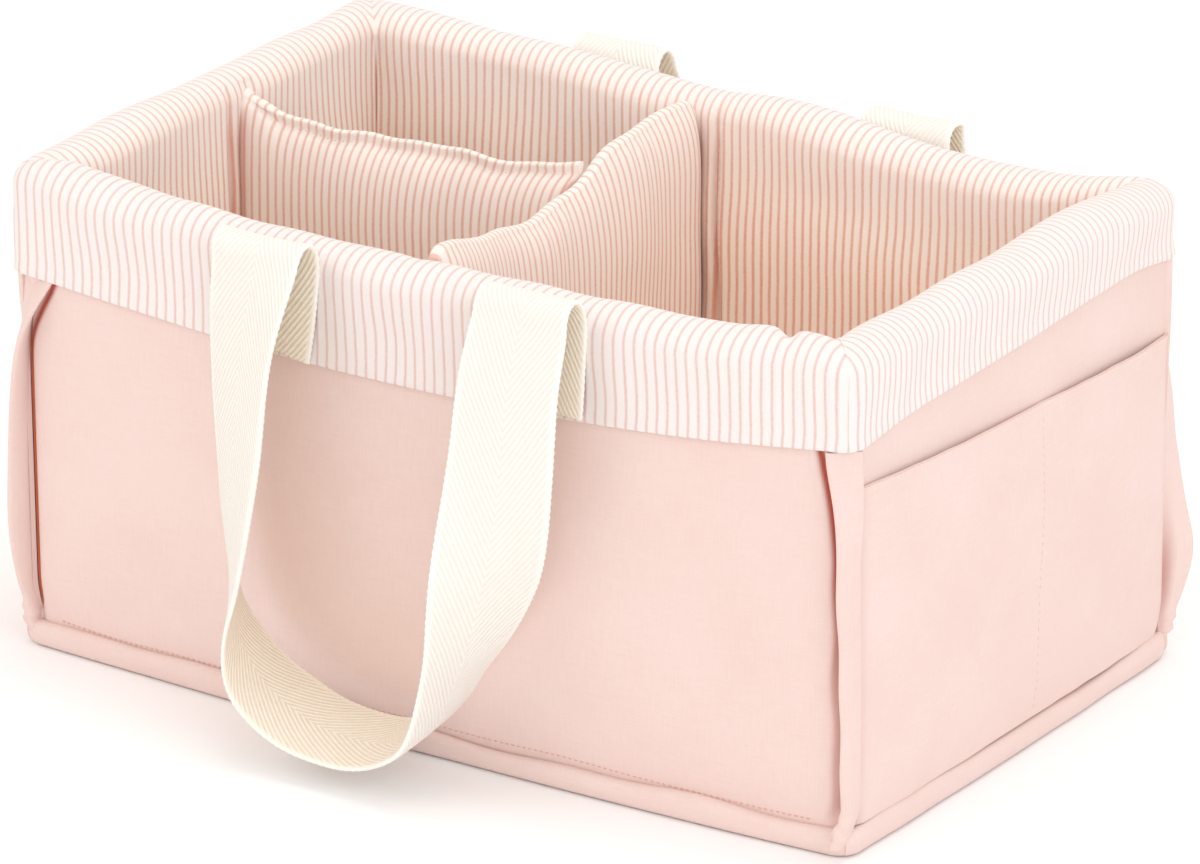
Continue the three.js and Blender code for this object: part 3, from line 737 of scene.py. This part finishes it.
def cross_divider(material):
    y = np.linspace(-CROSS_REACH, CROSS_REACH, 140)[:, None]
    end = CROSS_REACH - np.abs(y)
    top = cross_top(y) - 4.0 * np.maximum(0, 1 - end / 4) ** 2
    x, z = divider_rings(top, lambda h: cross_half(y, h, top), lambda h: cross_sideways(y, h))
    swing = WALLS["back"].bow * z / HEIGHT * np.clip(y / CROSS_REACH, -1, 1)
    rings = stack(x, y + swing, z)
    # Painted shade at the ends where it meets the walls, fading up to its top.
    painted_crevice_shade = 0.8 * hump(end, 3) * smooth(top - z, 4, 16)
    divider(
        "cross_divider", rings, material, across=0, along=y, pitch=3.1, depth=top - z, painted_crevice_shade=painted_crevice_shade
    )


def long_lip(f):
    """Height and half thickness of the long divider's lip, which begins a little way from its left end."""
    begun = smooth(f, 0.03, 0.14)
    return 3.0 * begun, lerp(2.8, 1.2, begun)


def long_form(f, z):
    """Half thickness and sideways place of the long divider at a share of its run and a height."""
    top = long_top(f)
    end = np.minimum(f, 1 - f) * LONG_RUN
    half = pad_half(top - z, z - FLOOR, end + 0.8, f * LONG_RUN, long_lip(f), 73)
    ruffle = 0.6 * ripples(f * LONG_RUN, 0, 26, 77) * np.exp(-(top - z) / 6)
    return half, lerp(LONG_LEFT_Y, LONG_RIGHT_Y, f) + ruffle


def long_top(f):
    return through(f, LONG_TOP) + 0.4 * ripples(f * LONG_RUN, 0, 24, 76)


def long_x(f, z):
    """Place of the long divider along X, from the left lining to the left face of the cross divider."""
    left = -(HALF_LENGTH - WALL + 3.5)
    high = cross_top(LONG_RIGHT_Y)
    low = np.minimum(z, high)
    face = cross_sideways(LONG_RIGHT_Y, low) - cross_half(LONG_RIGHT_Y, low, high)
    return lerp(left, face - CLEARANCE, f)


def long_divider(material):
    f = np.linspace(0, 1, 130)[:, None]
    top = long_top(f)
    y, z = divider_rings(top, lambda h: long_form(f, h)[0], lambda h: long_form(f, h)[1])
    run = f * LONG_RUN
    # Painted shade at both ends, where it meets the lining and the cross divider, fading up to its top.
    painted_crevice_shade = hump(run, 4.5) + hump((1 - f) * LONG_RUN, 1.5)
    painted_crevice_shade = 0.85 * painted_crevice_shade * smooth(top - z, 1, 10)
    rings = stack(long_x(f, z), y, z)
    divider(
        "long_divider", rings, material, across=1, along=run, pitch=3.2, depth=top - z, painted_crevice_shade=painted_crevice_shade
    )


# Handles, in the long wall's frame. The loop's middle line goes from the left fold down, along the bottom
# and up to the right fold: place along the wall, out from the middle of the box, height, and the turn of
# the webbing from facing outwards, in degrees.
LOOP = [
    (-51, 115, 160.6, 6), (-52.6, 119, 142.7, 17), (-53.6, 124, 97.3, 33), (-53.8, 127, 59, 50),
    (-52.9, 128, 43.6, 63), (-48.8, 128, 32.2, 78), (-42.9, 128, 24.1, 89), (-35.1, 128, 18.7, 95),
    (-23.5, 128, 13.6, 98), (-9.7, 128, 11.6, 99), (2.7, 128, 12, 99), (15.1, 128, 16.2, 98),
    (22.1, 128, 20.9, 96), (27.2, 128, 28.5, 92), (32.1, 128, 39.9, 86), (37.7, 128, 53.2, 74),
    (42, 127.5, 68.2, 57), (45.4, 126.5, 83.9, 37), (47.6, 125.5, 99.4, 22), (48.8, 124, 114.8, 12),
    (50, 120, 144.4, 5), (51, 115.5, 160.6, 2),
]
FOLD_RADIUS = 4.5
# Where the swing of the loop begins and is whole: out from the hinge's axis, and below it
FOLD_SPAN = [(-1.5, 0.0), (4.7, 0.19)]
# Each handle: its wall, where its two folds are along the wall, how high each fold arches over its axis,
# and how far each sewn end slants sideways on its way down to the hem
HANDLES = {
    "front": SimpleNamespace(side="front", folds=(-51.0, 51.0), arches=(7.0, 9.0), slants=(-5.0, -2.0)),
    "rear": SimpleNamespace(side="back", folds=(-54.5, 61.0), arches=(4.0, 9.0), slants=(2.0, -2.0)),
}


def eased(rows, width):
    """Rows of vectors, each averaged with its neighbours over a bell of an odd width."""
    bell = np.hanning(width + 2)[1:-1]
    side = width // 2
    padded = np.pad(rows, ((side, side), (0, 0)), mode="edge")
    return stack(*(np.convolve(column, bell / bell.sum(), mode="valid") for column in padded.T))


def loop_path(folds):
    """Hanging loop between its folds: middle line, normal and width direction of the webbing.

    Each lies in the wall's frame as (along, -out, up). The webbing's width starts towards the inside of
    the loop and turns outwards by the loop's own turn, so it lies flat across the bottom.
    """
    table = np.array(LOOP)
    share = (table[:, 0] - LOOP[0][0]) / (LOOP[-1][0] - LOOP[0][0])
    table[:, 0] = lerp(folds[0], folds[1], share)
    far = chord(table[:, :3])
    f = np.linspace(0, 1, 360)
    x, out, z, turn = (through(f * far[-1], list(zip(far, column))) for column in table.T)
    centre = stack(x, -out, z)
    along = unit(np.gradient(centre * [1, 0, 1], axis=0))
    outwards = np.array([0, -1.0, 0])
    inside = np.cross(outwards, along)
    turn = np.radians(turn)[:, None]
    across = inside * np.cos(turn) + outwards * np.sin(turn)
    normal = inside * np.sin(turn) - outwards * np.cos(turn)
    return centre, normal, across


def sewn_end(wall, fold, arch, slant, axis_out, axis_z, loop_out):
    """Sewn end of the webbing, flat on the cuff from its hem up, then its fold over to the loop.

    The fold is half an ellipse over the hinge's axis. Rows go from the hem to the loop.
    """
    t = fold / (wall.half - CORNER_RADIUS)
    rise = np.linspace(0, 1, 40)[:-1]
    z = lerp(through(t, wall.hem) + 2.5, axis_z, rise)
    x = fold + slant * (1 - rise) ** 1.3
    face = wall.reach + wall.bow * (1 - t**2) * z / HEIGHT + CLEARANCE + STRAP_THICKNESS / 2
    out = lerp(face + 0.5, axis_out - FOLD_RADIUS, smooth(rise, 0.3, 1))
    over = np.linspace(0, np.pi, 24)[:-1]
    arc_out = lerp(axis_out - FOLD_RADIUS, loop_out, (1 - np.cos(over)) / 2)
    arc = stack(fold, -arc_out, axis_z + arch * np.sin(over))
    centre = np.concatenate([stack(x, -out, z), arc])
    along = unit(np.gradient(centre, axis=0))
    across = unit(np.array([1.0, 0, 0]) - along[:, :1] * along)
    return centre, np.cross(across, along), across


def handle(name, material):
    """One length of webbing: sewn end, fold, loop, fold and sewn end, with a woven edge."""
    made = HANDLES[name]
    wall = WALLS[made.side]
    joint = next(j for j in frame["joints"] if j["name"] == f"{name}_handle_swing")
    axis_out, axis_z = abs(joint["pos_m"][1]) / MM, joint["pos_m"][2] / MM
    left, right = (
        sewn_end(wall, fold, arch, slant, axis_out, axis_z, row[1])
        for fold, arch, slant, row in zip(made.folds, made.arches, made.slants, (LOOP[0], LOOP[-1]))
    )
    loop = loop_path(made.folds)
    right = [right[0][::-1], right[1][::-1], -right[2][::-1]]
    centre, normal, across = (np.concatenate(parts) for parts in zip(left, loop, right))
    length = chord(centre)
    even = np.linspace(0, length[-1], round(length[-1] / 0.7))
    centre = eased(sample(even, length, centre), 11)
    normal, across = (unit(eased(sample(even, length, rows), 25)) for rows in (normal, across))
    edge = STRAP_WIDTH / 2 + 0.15 * np.sin(2 * np.pi * even / 2.4) + 0.25 * ripples(even, 0, 60, 81)
    wide, thick = squarish(np.cos(circle(32)), 0.3), squarish(np.sin(circle(32)), 0.5)
    sideways = edge[:, None] * wide
    cup = 0.5 * ripples(even, 0, 90, 82)[:, None] * (wide**2 - 0.5)
    proud = STRAP_THICKNESS / 2 * thick * (1 + 0.15 * hump(np.abs(wide) - 0.95, 0.04)) + cup
    ring = centre[:, None] + across[:, None] * sideways[..., None] + normal[:, None] * proud[..., None]
    rings = place(wall, ring[..., 0], -ring[..., 1], ring[..., 2])
    uv = stack(closed(sideways), even[:, None])
    # The inner face of the webbing is painted warmer and darker, as shade inside the loop and under the
    # folds.
    piece = tube(f"{name}_handle", rings, uv, material, {"painted_warm_shade": smooth(thick, 0.3, 0.7)})
    anchors = [f"{name}_handle_anchor_{end}" for end in ("left", "right")]
    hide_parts(f"{name}_handle_loop", *anchors)
    near, far = (place(wall, 0.0, axis_out + d, axis_z - drop) * MM for d, drop in FOLD_SPAN)
    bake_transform(piece)


# Stitches


def stitches(name, path, normal, material, stitch, gap, thread):
    """Row of thread along a path: each stitch is a short tube that rises from the cloth and dips back.

    path and normal are (point, xyz) rows. A stitch has 6 rings of 6 points.
    """
    length = chord(path)
    count = int(length[-1] // (stitch + gap))
    begin = (length[-1] - count * (stitch + gap) + gap) / 2 + np.arange(count) * (stitch + gap)
    f = np.linspace(0, 1, 6)
    where = begin[:, None] + f * stitch
    centre, up = sample(where, length, path), sample(where, length, normal)
    side = unit(np.cross(unit(np.gradient(centre, axis=1)), up))
    lift = thread * (0.55 * np.sin(np.pi * f) - 0.2)[:, None]
    radius = thread / 2 * (0.45 + 0.55 * np.sin(np.pi * f) ** 0.5)[:, None]
    turn = circle(6)
    rings = (
        (centre + up * lift)[:, :, None]
        + side[:, :, None] * (radius * np.cos(turn))[..., None]
        + up[:, :, None] * (radius * np.sin(turn))[..., None]
    )
    quads, _ = grid_faces(6, 6)
    caps = np.array([[5, 4, 3, 2, 1, 0], [30, 31, 32, 33, 34, 35]])
    points = rings.reshape(-1, 3)
    if inside_out(points[:36], quads):
        quads, caps = quads[:, ::-1], caps[:, ::-1]
    offset = (np.arange(count) * 36)[:, None, None]
    faces = (quads + offset).reshape(-1, 4).tolist() + (caps + offset).reshape(-1, 6).tolist()
    mesh = bpy.data.meshes.new(name)
    mesh.from_pydata((points * MM).tolist(), [], faces)
    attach(link(name, mesh, material), "caddy_body")


def wall_stitches(name, wall, t, depth, z, material, size, sense=1.0):
    """Row of stitches on a wall at shares of its run and heights, on its outer or inner face at a depth."""
    s = t * (wall.half - CORNER_RADIUS)
    st = SimpleNamespace(s=s, t=t, angle=0 * t, end=wall.half - np.abs(s))
    along, out, _ = soft_wall(wall, st, depth + 0 * z, z)
    path = place(wall, along, out, z)
    normal = np.broadcast_to(place(wall, 0.0, sense, 0.0), path.shape)
    stitches(name, path, normal, material, *size)


def seams(thread, pale):
    """Rows of stitches: above the welts, down the pockets, beside the cross divider and along the lip.

    A row's size is the length of a stitch, the gap to the next one and the thickness of the thread.
    """
    t = np.linspace(-0.97, 0.97, 300)
    z = WELT_HEIGHT + 0.8 + 0.3 * ripples(t * 150, 0, 40, 91)
    for side in ("front", "back"):
        wall_stitches(f"{side}_foot_stitches", WALLS[side], t, PANEL_FACE, z, thread, (1.5, 0.7, 0.45))
    depth = PANEL_FACE - CLEARANCE - FABRIC
    for side, mouth in POCKET_MOUTH.items():
        z = np.linspace(POCKET_FOOT + 3, through(POCKET_SEAM, mouth) - 1, 80)
        t = POCKET_SEAM + 0.004 * np.sin(z / 15)
        wall_stitches(f"{side}_pocket_stitches", WALLS[side], t, depth, z, pale, (2.2, 0.8, 0.35))
    wall = WALLS["back"]
    z = np.linspace(FLOOR + 4, HEIGHT - 18, 100)
    t = (wall.grooves[0] - 0.8 + 0.6 * np.sin(z / 19)) / (wall.half - CORNER_RADIUS)
    wall_stitches("rear_seam_stitches", wall, t, WALL, z, pale, (2.2, 0.8, 0.4), sense=-1.0)
    f = np.linspace(0.1, 0.98, 300)
    z = long_top(f) - long_lip(f)[0]
    half, y = long_form(f, z)
    path = stack(long_x(f, z), y - half, z)
    stitches("lip_stitches", path, np.broadcast_to([0, -1.0, 0], path.shape), thread, 2.0, 0.9, 0.45)


# Materials


def srgb(red, green, blue):
    """Linear colour of an sRGB colour given in 0 to 255."""
    c = np.array([red, green, blue]) / 255
    linear = np.where(c <= 0.04045, c / 12.92, ((c + 0.055) / 1.055) ** 2.4)
    return (*linear.tolist(), 1.0)


class Nodes:
    """Short calls to add nodes to a tree: an input is a socket to link, or a value to set."""

    def __init__(self, tree):
        self.tree = tree

    def add(self, kind, inputs=(), **settings):
        node = self.tree.nodes.new(kind)
        for key, value in settings.items():
            setattr(node, key, value)
        for key, value in dict(inputs).items():
            if isinstance(value, bpy.types.NodeSocket):
                self.tree.links.new(value, node.inputs[key])
            else:
                node.inputs[key].default_value = value
        return node

    def math(self, operation, a, b=0.0, c=0.0):
        return self.add("ShaderNodeMath", {0: a, 1: b, 2: c}, operation=operation).outputs[0]

    def step(self, value, low, high):
        """Eased step of a value from 0 at low to 1 at high."""
        inputs = {"Value": value, "From Min": low, "From Max": high}
        return self.add("ShaderNodeMapRange", inputs, interpolation_type="SMOOTHSTEP").outputs["Result"]

    def mix(self, factor, a, b):
        return self.add("ShaderNodeMix", {0: factor, 6: a, 7: b}, data_type="RGBA").outputs[2]

    def mark(self, name):
        """The 0 to 1 values that a mesh holds under a name."""
        return self.add("ShaderNodeAttribute", attribute_name=name).outputs["Fac"]

    def noise(self, vector, stretch, scale=1.0):
        """Noise of about 0.5 on a vector stretched by three factors."""
        spread = self.add("ShaderNodeVectorMath", {0: vector, 1: stretch}, operation="MULTIPLY").outputs[0]
        inputs = {"Vector": spread, "Scale": scale, "Detail": 2.0}
        return self.add("ShaderNodeTexNoise", inputs).outputs["Fac"]

    def cloth(self):
        """Millimetres across and along the cloth, from the piece's own UV map."""
        return self.add("ShaderNodeUVMap", uv_map="UVMap").outputs[0]

    def woven(self, tree, **inputs):
        """Outputs of a node group on the piece's own cloth."""
        return self.add("ShaderNodeGroup", {"Cloth": self.cloth(), **inputs}, node_tree=tree).outputs


def group(name, inputs, outputs):
    """Empty shader node group with float or vector inputs, its nodes' helper and what it is given."""
    tree = bpy.data.node_groups.new(name, "ShaderNodeTree")
    for label, kind in inputs.items():
        tree.interface.new_socket(label, in_out="INPUT", socket_type=f"NodeSocket{kind}")
    for label in outputs:
        tree.interface.new_socket(label, in_out="OUTPUT", socket_type="NodeSocketFloat")
    nodes = Nodes(tree)
    return nodes, nodes.add("NodeGroupInput").outputs


def weave_group():
    """Plain weave: threads over and under each other, with uneven yarn in both directions."""
    nodes, given = group("plain_weave", {"Cloth": "Vector", "Pitch": "Float"}, ["Height", "Yarn"])
    parts = nodes.add("ShaderNodeSeparateXYZ", {0: given["Cloth"]}).outputs
    u, v = (nodes.math("DIVIDE", part, given["Pitch"]) for part in parts[:2])
    warp, weft = (
        nodes.math("ABSOLUTE", nodes.math("SINE", nodes.math("MULTIPLY", part, math.pi))) for part in (u, v)
    )
    squares = nodes.math("ADD", nodes.math("FLOOR", u), nodes.math("FLOOR", v))
    over = nodes.math("MULTIPLY", nodes.math("FRACT", nodes.math("MULTIPLY", squares, 0.5)), 2.0)
    threads = nodes.add("ShaderNodeMix", {0: over, 2: warp, 3: weft}, data_type="FLOAT").outputs[0]
    upright = nodes.noise(given["Cloth"], (1.6, 0.12, 1.0))
    level = nodes.noise(given["Cloth"], (0.12, 1.6, 1.0))
    yarn = nodes.math("MULTIPLY", nodes.math("ADD", upright, level), 0.5)
    height = nodes.math("MULTIPLY_ADD", threads, 0.5, yarn)
    nodes.add("NodeGroupOutput", {"Height": height, "Yarn": yarn})
    return nodes.tree


def stripe_group():
    """Thin woven lines at an even pitch across the cloth, with slightly uneven edges."""
    nodes, given = group("woven_stripe", {"Cloth": "Vector", "Pitch": "Float", "Line": "Float"}, ["Mask"])
    across = nodes.add("ShaderNodeSeparateXYZ", {0: given["Cloth"]}).outputs[0]
    waver = nodes.noise(given["Cloth"], (0.05, 0.05, 1.0))
    shifted = nodes.math("MULTIPLY_ADD", nodes.math("SUBTRACT", waver, 0.5), 0.9, across)
    phase = nodes.math("FRACT", nodes.math("DIVIDE", shifted, given["Pitch"]))
    off = nodes.math("MULTIPLY", nodes.math("ABSOLUTE", nodes.math("SUBTRACT", phase, 0.5)), given["Pitch"])
    rough = nodes.noise(given["Cloth"], (1.5, 0.8, 1.0))
    edge = nodes.math("MULTIPLY_ADD", nodes.math("SUBTRACT", rough, 0.5), 0.35, off)
    inner, outer = (nodes.math("MULTIPLY_ADD", given["Line"], 0.5, soft) for soft in (-0.35, 0.35))
    mask = nodes.math("SUBTRACT", 1.0, nodes.step(edge, inner, outer))
    nodes.add("NodeGroupOutput", {"Mask": mask})
    return nodes.tree


def herringbone_group():
    """Twill ribs that run down to a V at the middle of the webbing, and its plain woven edges."""
    nodes, given = group("herringbone", {"Cloth": "Vector", "Pitch": "Float", "Half": "Float"}, ["Height"])
    parts = nodes.add("ShaderNodeSeparateXYZ", {0: given["Cloth"]}).outputs
    aside = nodes.math("ABSOLUTE", parts[0])
    slant = nodes.math("MULTIPLY_ADD", aside, -1.7, parts[1])
    phase = nodes.math("MULTIPLY", nodes.math("DIVIDE", slant, given["Pitch"]), 2 * math.pi)
    rib = nodes.math("MULTIPLY_ADD", nodes.math("SINE", phase), 0.5, 0.5)
    border = nodes.step(aside, nodes.math("SUBTRACT", given["Half"], 2.6), given["Half"])
    yarn = nodes.noise(given["Cloth"], (1.0, 1.0, 1.0), 1.2)
    ribs = nodes.add("ShaderNodeMix", {0: border, 2: rib, 3: 0.8}, data_type="FLOAT").outputs[0]
    nodes.add("NodeGroupOutput", {"Height": nodes.math("MULTIPLY_ADD", yarn, 0.5, ribs)})
    return nodes.tree


def cloth_material(name):
    """New material without nodes yet, and its nodes' helper."""
    material = bpy.data.materials.new(name)
    material.use_nodes = True
    material.node_tree.nodes.clear()
    return material, Nodes(material.node_tree)


def matt(nodes, colour, roughness, sheen, bump=None):
    """Matt Principled shader of a colour, with a bump of (height, millimetres, strength) if it has one."""
    inputs = {
        "Base Color": colour, "Roughness": roughness, "Specular IOR Level": 0.2,
        "Sheen Weight": sheen, "Sheen Roughness": 0.5,
    }
    if bump:
        height, distance, strength = bump
        given = {"Height": height, "Distance": distance * MM, "Strength": strength}
        inputs["Normal"] = nodes.add("ShaderNodeBump", given).outputs[0]
    shader = nodes.add("ShaderNodeBsdfPrincipled", inputs)
    nodes.add("ShaderNodeOutputMaterial", {"Surface": shader.outputs[0]})


def matt_cotton(nodes, colour, seam, height):
    """Cotton of a colour, mixed to a painted shade colour where the crevice mark says it lies in a seam,
    crease or corner, with its threads as a fine bump.
    """
    colour = nodes.mix(nodes.mark("painted_crevice_shade"), colour, seam)
    matt(nodes, colour, roughness=0.9, sheen=0.12, bump=(height, 0.14, 0.35))


def cotton(name, weave, colour, deep, seam):
    """Plain cotton in a pale and a deeper tone, mixed by uneven yarn and broad patches, with painted shade
    in seams and creases.
    """
    material, nodes = cloth_material(name)
    cloth = nodes.woven(weave, Pitch=THREAD_PITCH)
    patches = nodes.noise(nodes.cloth(), (0.025, 0.025, 1.0))
    tone = nodes.math("MULTIPLY_ADD", cloth["Yarn"], 0.6, nodes.math("MULTIPLY", patches, 0.4))
    mixed = nodes.mix(nodes.step(tone, 0.3, 0.7), deep, colour)
    matt_cotton(nodes, mixed, seam, cloth["Height"])
    return material


def striped(name, weave, stripe, ground, line, painted_shade_ground, painted_shade_line, seam):
    """Cream cotton with thin coral lines woven in, both painted warmer and darker down between the walls as
    shade, with painted shade in seams and corners.
    """
    material, nodes = cloth_material(name)
    cloth = nodes.woven(weave, Pitch=THREAD_PITCH)
    # The warm mark paints shade: it widens the lines and mixes ground and lines to their painted shade
    # colours.
    painted_warm_shade = nodes.mark("painted_warm_shade")
    width = nodes.math("MULTIPLY_ADD", painted_warm_shade, 0.35, 0.8)
    lines = nodes.woven(stripe, Pitch=STRIPE_PITCH, Line=width)
    yarn = nodes.step(cloth["Yarn"], 0.3, 0.7)
    amount = nodes.math("MULTIPLY", lines["Mask"], nodes.math("MULTIPLY_ADD", yarn, 0.25, 0.75))
    pale, dark = nodes.mix(painted_warm_shade, ground, painted_shade_ground), nodes.mix(painted_warm_shade, line, painted_shade_line)
    matt_cotton(nodes, nodes.mix(amount, pale, dark), seam, cloth["Height"])
    return material


def webbing(name, herringbone, high, low, painted_shade_high, painted_shade_low):
    """Cream cotton webbing: pale ribs over grooves painted darker as shade, both painted warmer and darker
    on the inside of the loop as shade.
    """
    material, nodes = cloth_material(name)
    cloth = nodes.woven(herringbone, Pitch=TWILL_PITCH, Half=STRAP_WIDTH / 2)
    # Painted shade: a darker colour in the grooves between the ribs, warmer and darker on the inside of the
    # loop.
    shade = nodes.step(cloth["Height"], 0.15, 0.9)
    painted_warm_shade = nodes.mark("painted_warm_shade")
    base_colour = nodes.mix(shade, nodes.mix(painted_warm_shade, low, painted_shade_low), nodes.mix(painted_warm_shade, high, painted_shade_high))
    matt(nodes, base_colour, roughness=0.85, sheen=0.1, bump=(cloth["Height"], 0.4, 0.7))
    return material


def thread_material(name, colour):
    """Sewing thread: a soft twist of two tones along each stitch."""
    material, nodes = cloth_material(name)
    twist = nodes.noise(nodes.add("ShaderNodeTexCoord").outputs["Object"], (1.0, 1.0, 1.0), 3000.0)
    dark = tuple(0.8 * c for c in colour[:3]) + (1.0,)
    matt(nodes, nodes.mix(twist, dark, colour), roughness=0.7, sheen=0.1)
    return material


# Stage


# Lamps as (place, size, power, colour), aimed at the middle of the caddy
LAMP_AIM = Vector((0, 0, 0.08))
LAMPS = {
    "key": ((-1.5, -1.9, 2.1), 2.0, 9.3, (0.95, 1.0, 1.06)),
    "fill": ((2.2, -0.9, 1.3), 1.8, 9.6, (0.79, 1.03, 1.21)),
    "front": ((1.2, -2.3, 1.1), 1.2, 5.0, (0.95, 1.0, 1.04)),
    "top": ((0.3, 0.2, 2.2), 1.2, 9.0, (1, 1, 1)),
}
FLOOR_REACH = 6.0


def camera():
    """Camera of the photograph: a long lens from the front right, a little above."""
    azimuth, elevation, roll = (math.radians(angle) for angle in (34.1, 21.25, -0.37))
    distance, aim_right, aim_up = 2604.0, 2.18, -6.89
    flat = math.cos(elevation)
    back = Vector((math.sin(azimuth) * flat, -math.cos(azimuth) * flat, math.sin(elevation)))
    level = Vector((math.cos(azimuth), math.sin(azimuth), 0))
    upright = back.cross(level)
    right = math.cos(roll) * level + math.sin(roll) * upright
    up = -math.sin(roll) * level + math.cos(roll) * upright
    eye = Vector((0, 0, HEIGHT / 2)) + right * aim_right + up * aim_up + back * distance
    data = bpy.data.cameras.new("camera")
    data.lens = 238.3
    data.sensor_width = 36.0
    data.clip_end = 100
    made = put("camera", data)
    made.matrix_world = Matrix.Translation(eye * MM) @ Matrix((right, up, back)).transposed().to_4x4()
    bpy.context.scene.camera = made


def lamp(name, place_at, size, power, colour):
    data = bpy.data.lights.new(name, "AREA")
    data.shape = "DISK"
    data.size = size
    data.energy = power
    data.color = colour
    made = put(name, data)
    made.location = place_at
    made.rotation_euler = (LAMP_AIM - Vector(place_at)).to_track_quat("-Z", "Y").to_euler()


def white_to_camera(nodes, colour, strength):
    """World light of one colour and strength, seen as plain white by the camera and in reflections."""
    path = nodes.add("ShaderNodeLightPath").outputs
    seen = nodes.math("MAXIMUM", path["Is Camera Ray"], path["Is Glossy Ray"])
    seen = nodes.math("MAXIMUM", seen, path["Is Transmission Ray"])
    light, white = (
        nodes.add("ShaderNodeBackground", {"Color": tone, "Strength": amount}).outputs[0]
        for tone, amount in ((colour, strength), ((1, 1, 1, 1), 1.0))
    )
    both = nodes.add("ShaderNodeMixShader", {0: seen, 1: light, 2: white})
    nodes.add("ShaderNodeOutputWorld", {"Surface": both.outputs[0]})


def stage():
    """Pale floor, white surroundings and soft lamps from the upper left, the right, the front and above."""
    world = bpy.data.worlds.new("studio")
    bpy.context.scene.world = world
    world.use_nodes = True
    world.node_tree.nodes.clear()
    white_to_camera(Nodes(world.node_tree), (1.0, 0.945, 0.905, 1), 0.92)
    mesh = bpy.data.meshes.new("floor")
    square = ((-1, -1), (1, -1), (1, 1), (-1, 1))
    corners = [(x * FLOOR_REACH, y * FLOOR_REACH, -CLEARANCE * MM) for x, y in square]
    mesh.from_pydata(corners, [], [(0, 1, 2, 3)])
    material, nodes = cloth_material("pale_floor")
    matt(nodes, (0.985, 0.985, 0.985, 1), roughness=0.8, sheen=0.0)
    link("floor", mesh, material)
    for name, settings in LAMPS.items():
        lamp(name, *settings)
    bpy.context.scene.view_settings.view_transform = "Standard"


# Making


def make():
    camera()
    stage()
    weave = weave_group()
    # Each seam colour is painted shade, mixed in where a piece lies deep in a seam, crease or corner.
    pink = cotton(
        "pink_cotton", weave,
        colour=srgb(238, 215, 208), deep=srgb(234, 207, 199), seam=srgb(168, 76, 60),
    )
    lining = striped(
        "striped_cotton", weave, stripe_group(),
        ground=srgb(240, 232, 229), line=srgb(226, 192, 184),
        # The second ground and line colours are painted warm shade down between the walls; the seam colour
        # is painted shade in seams and corners.
        painted_shade_ground=srgb(255, 244, 232), painted_shade_line=srgb(234, 178, 154), seam=srgb(196, 104, 70),
    )
    cream = webbing(
        "cream_webbing", herringbone_group(),
        high=srgb(247, 244, 237), low=srgb(241, 234, 222),
        # The second pair of colours is painted warm shade on the inside of the loop.
        painted_shade_high=srgb(249, 242, 227), painted_shade_low=srgb(241, 227, 203),
    )
    for side in WALLS:
        wall_pad(side, lining)
        outer_panel(side, pink)
        base_welt(side, pink)
    for side in POCKET_MOUTH:
        pocket(side, pink)
    for name in FINS:
        corner_fin(name, pink)
    base(pink, lining)
    cross_divider(lining)
    long_divider(lining)
    for name in HANDLES:
        handle(name, cream)
    # The coral thread's colour is partly its own and partly painted shade of the creases its rows lie in.
    coral = thread_material("coral_thread", srgb(233, 184, 169))
    seams(coral, thread_material("pink_thread", srgb(247, 222, 213)))


make()
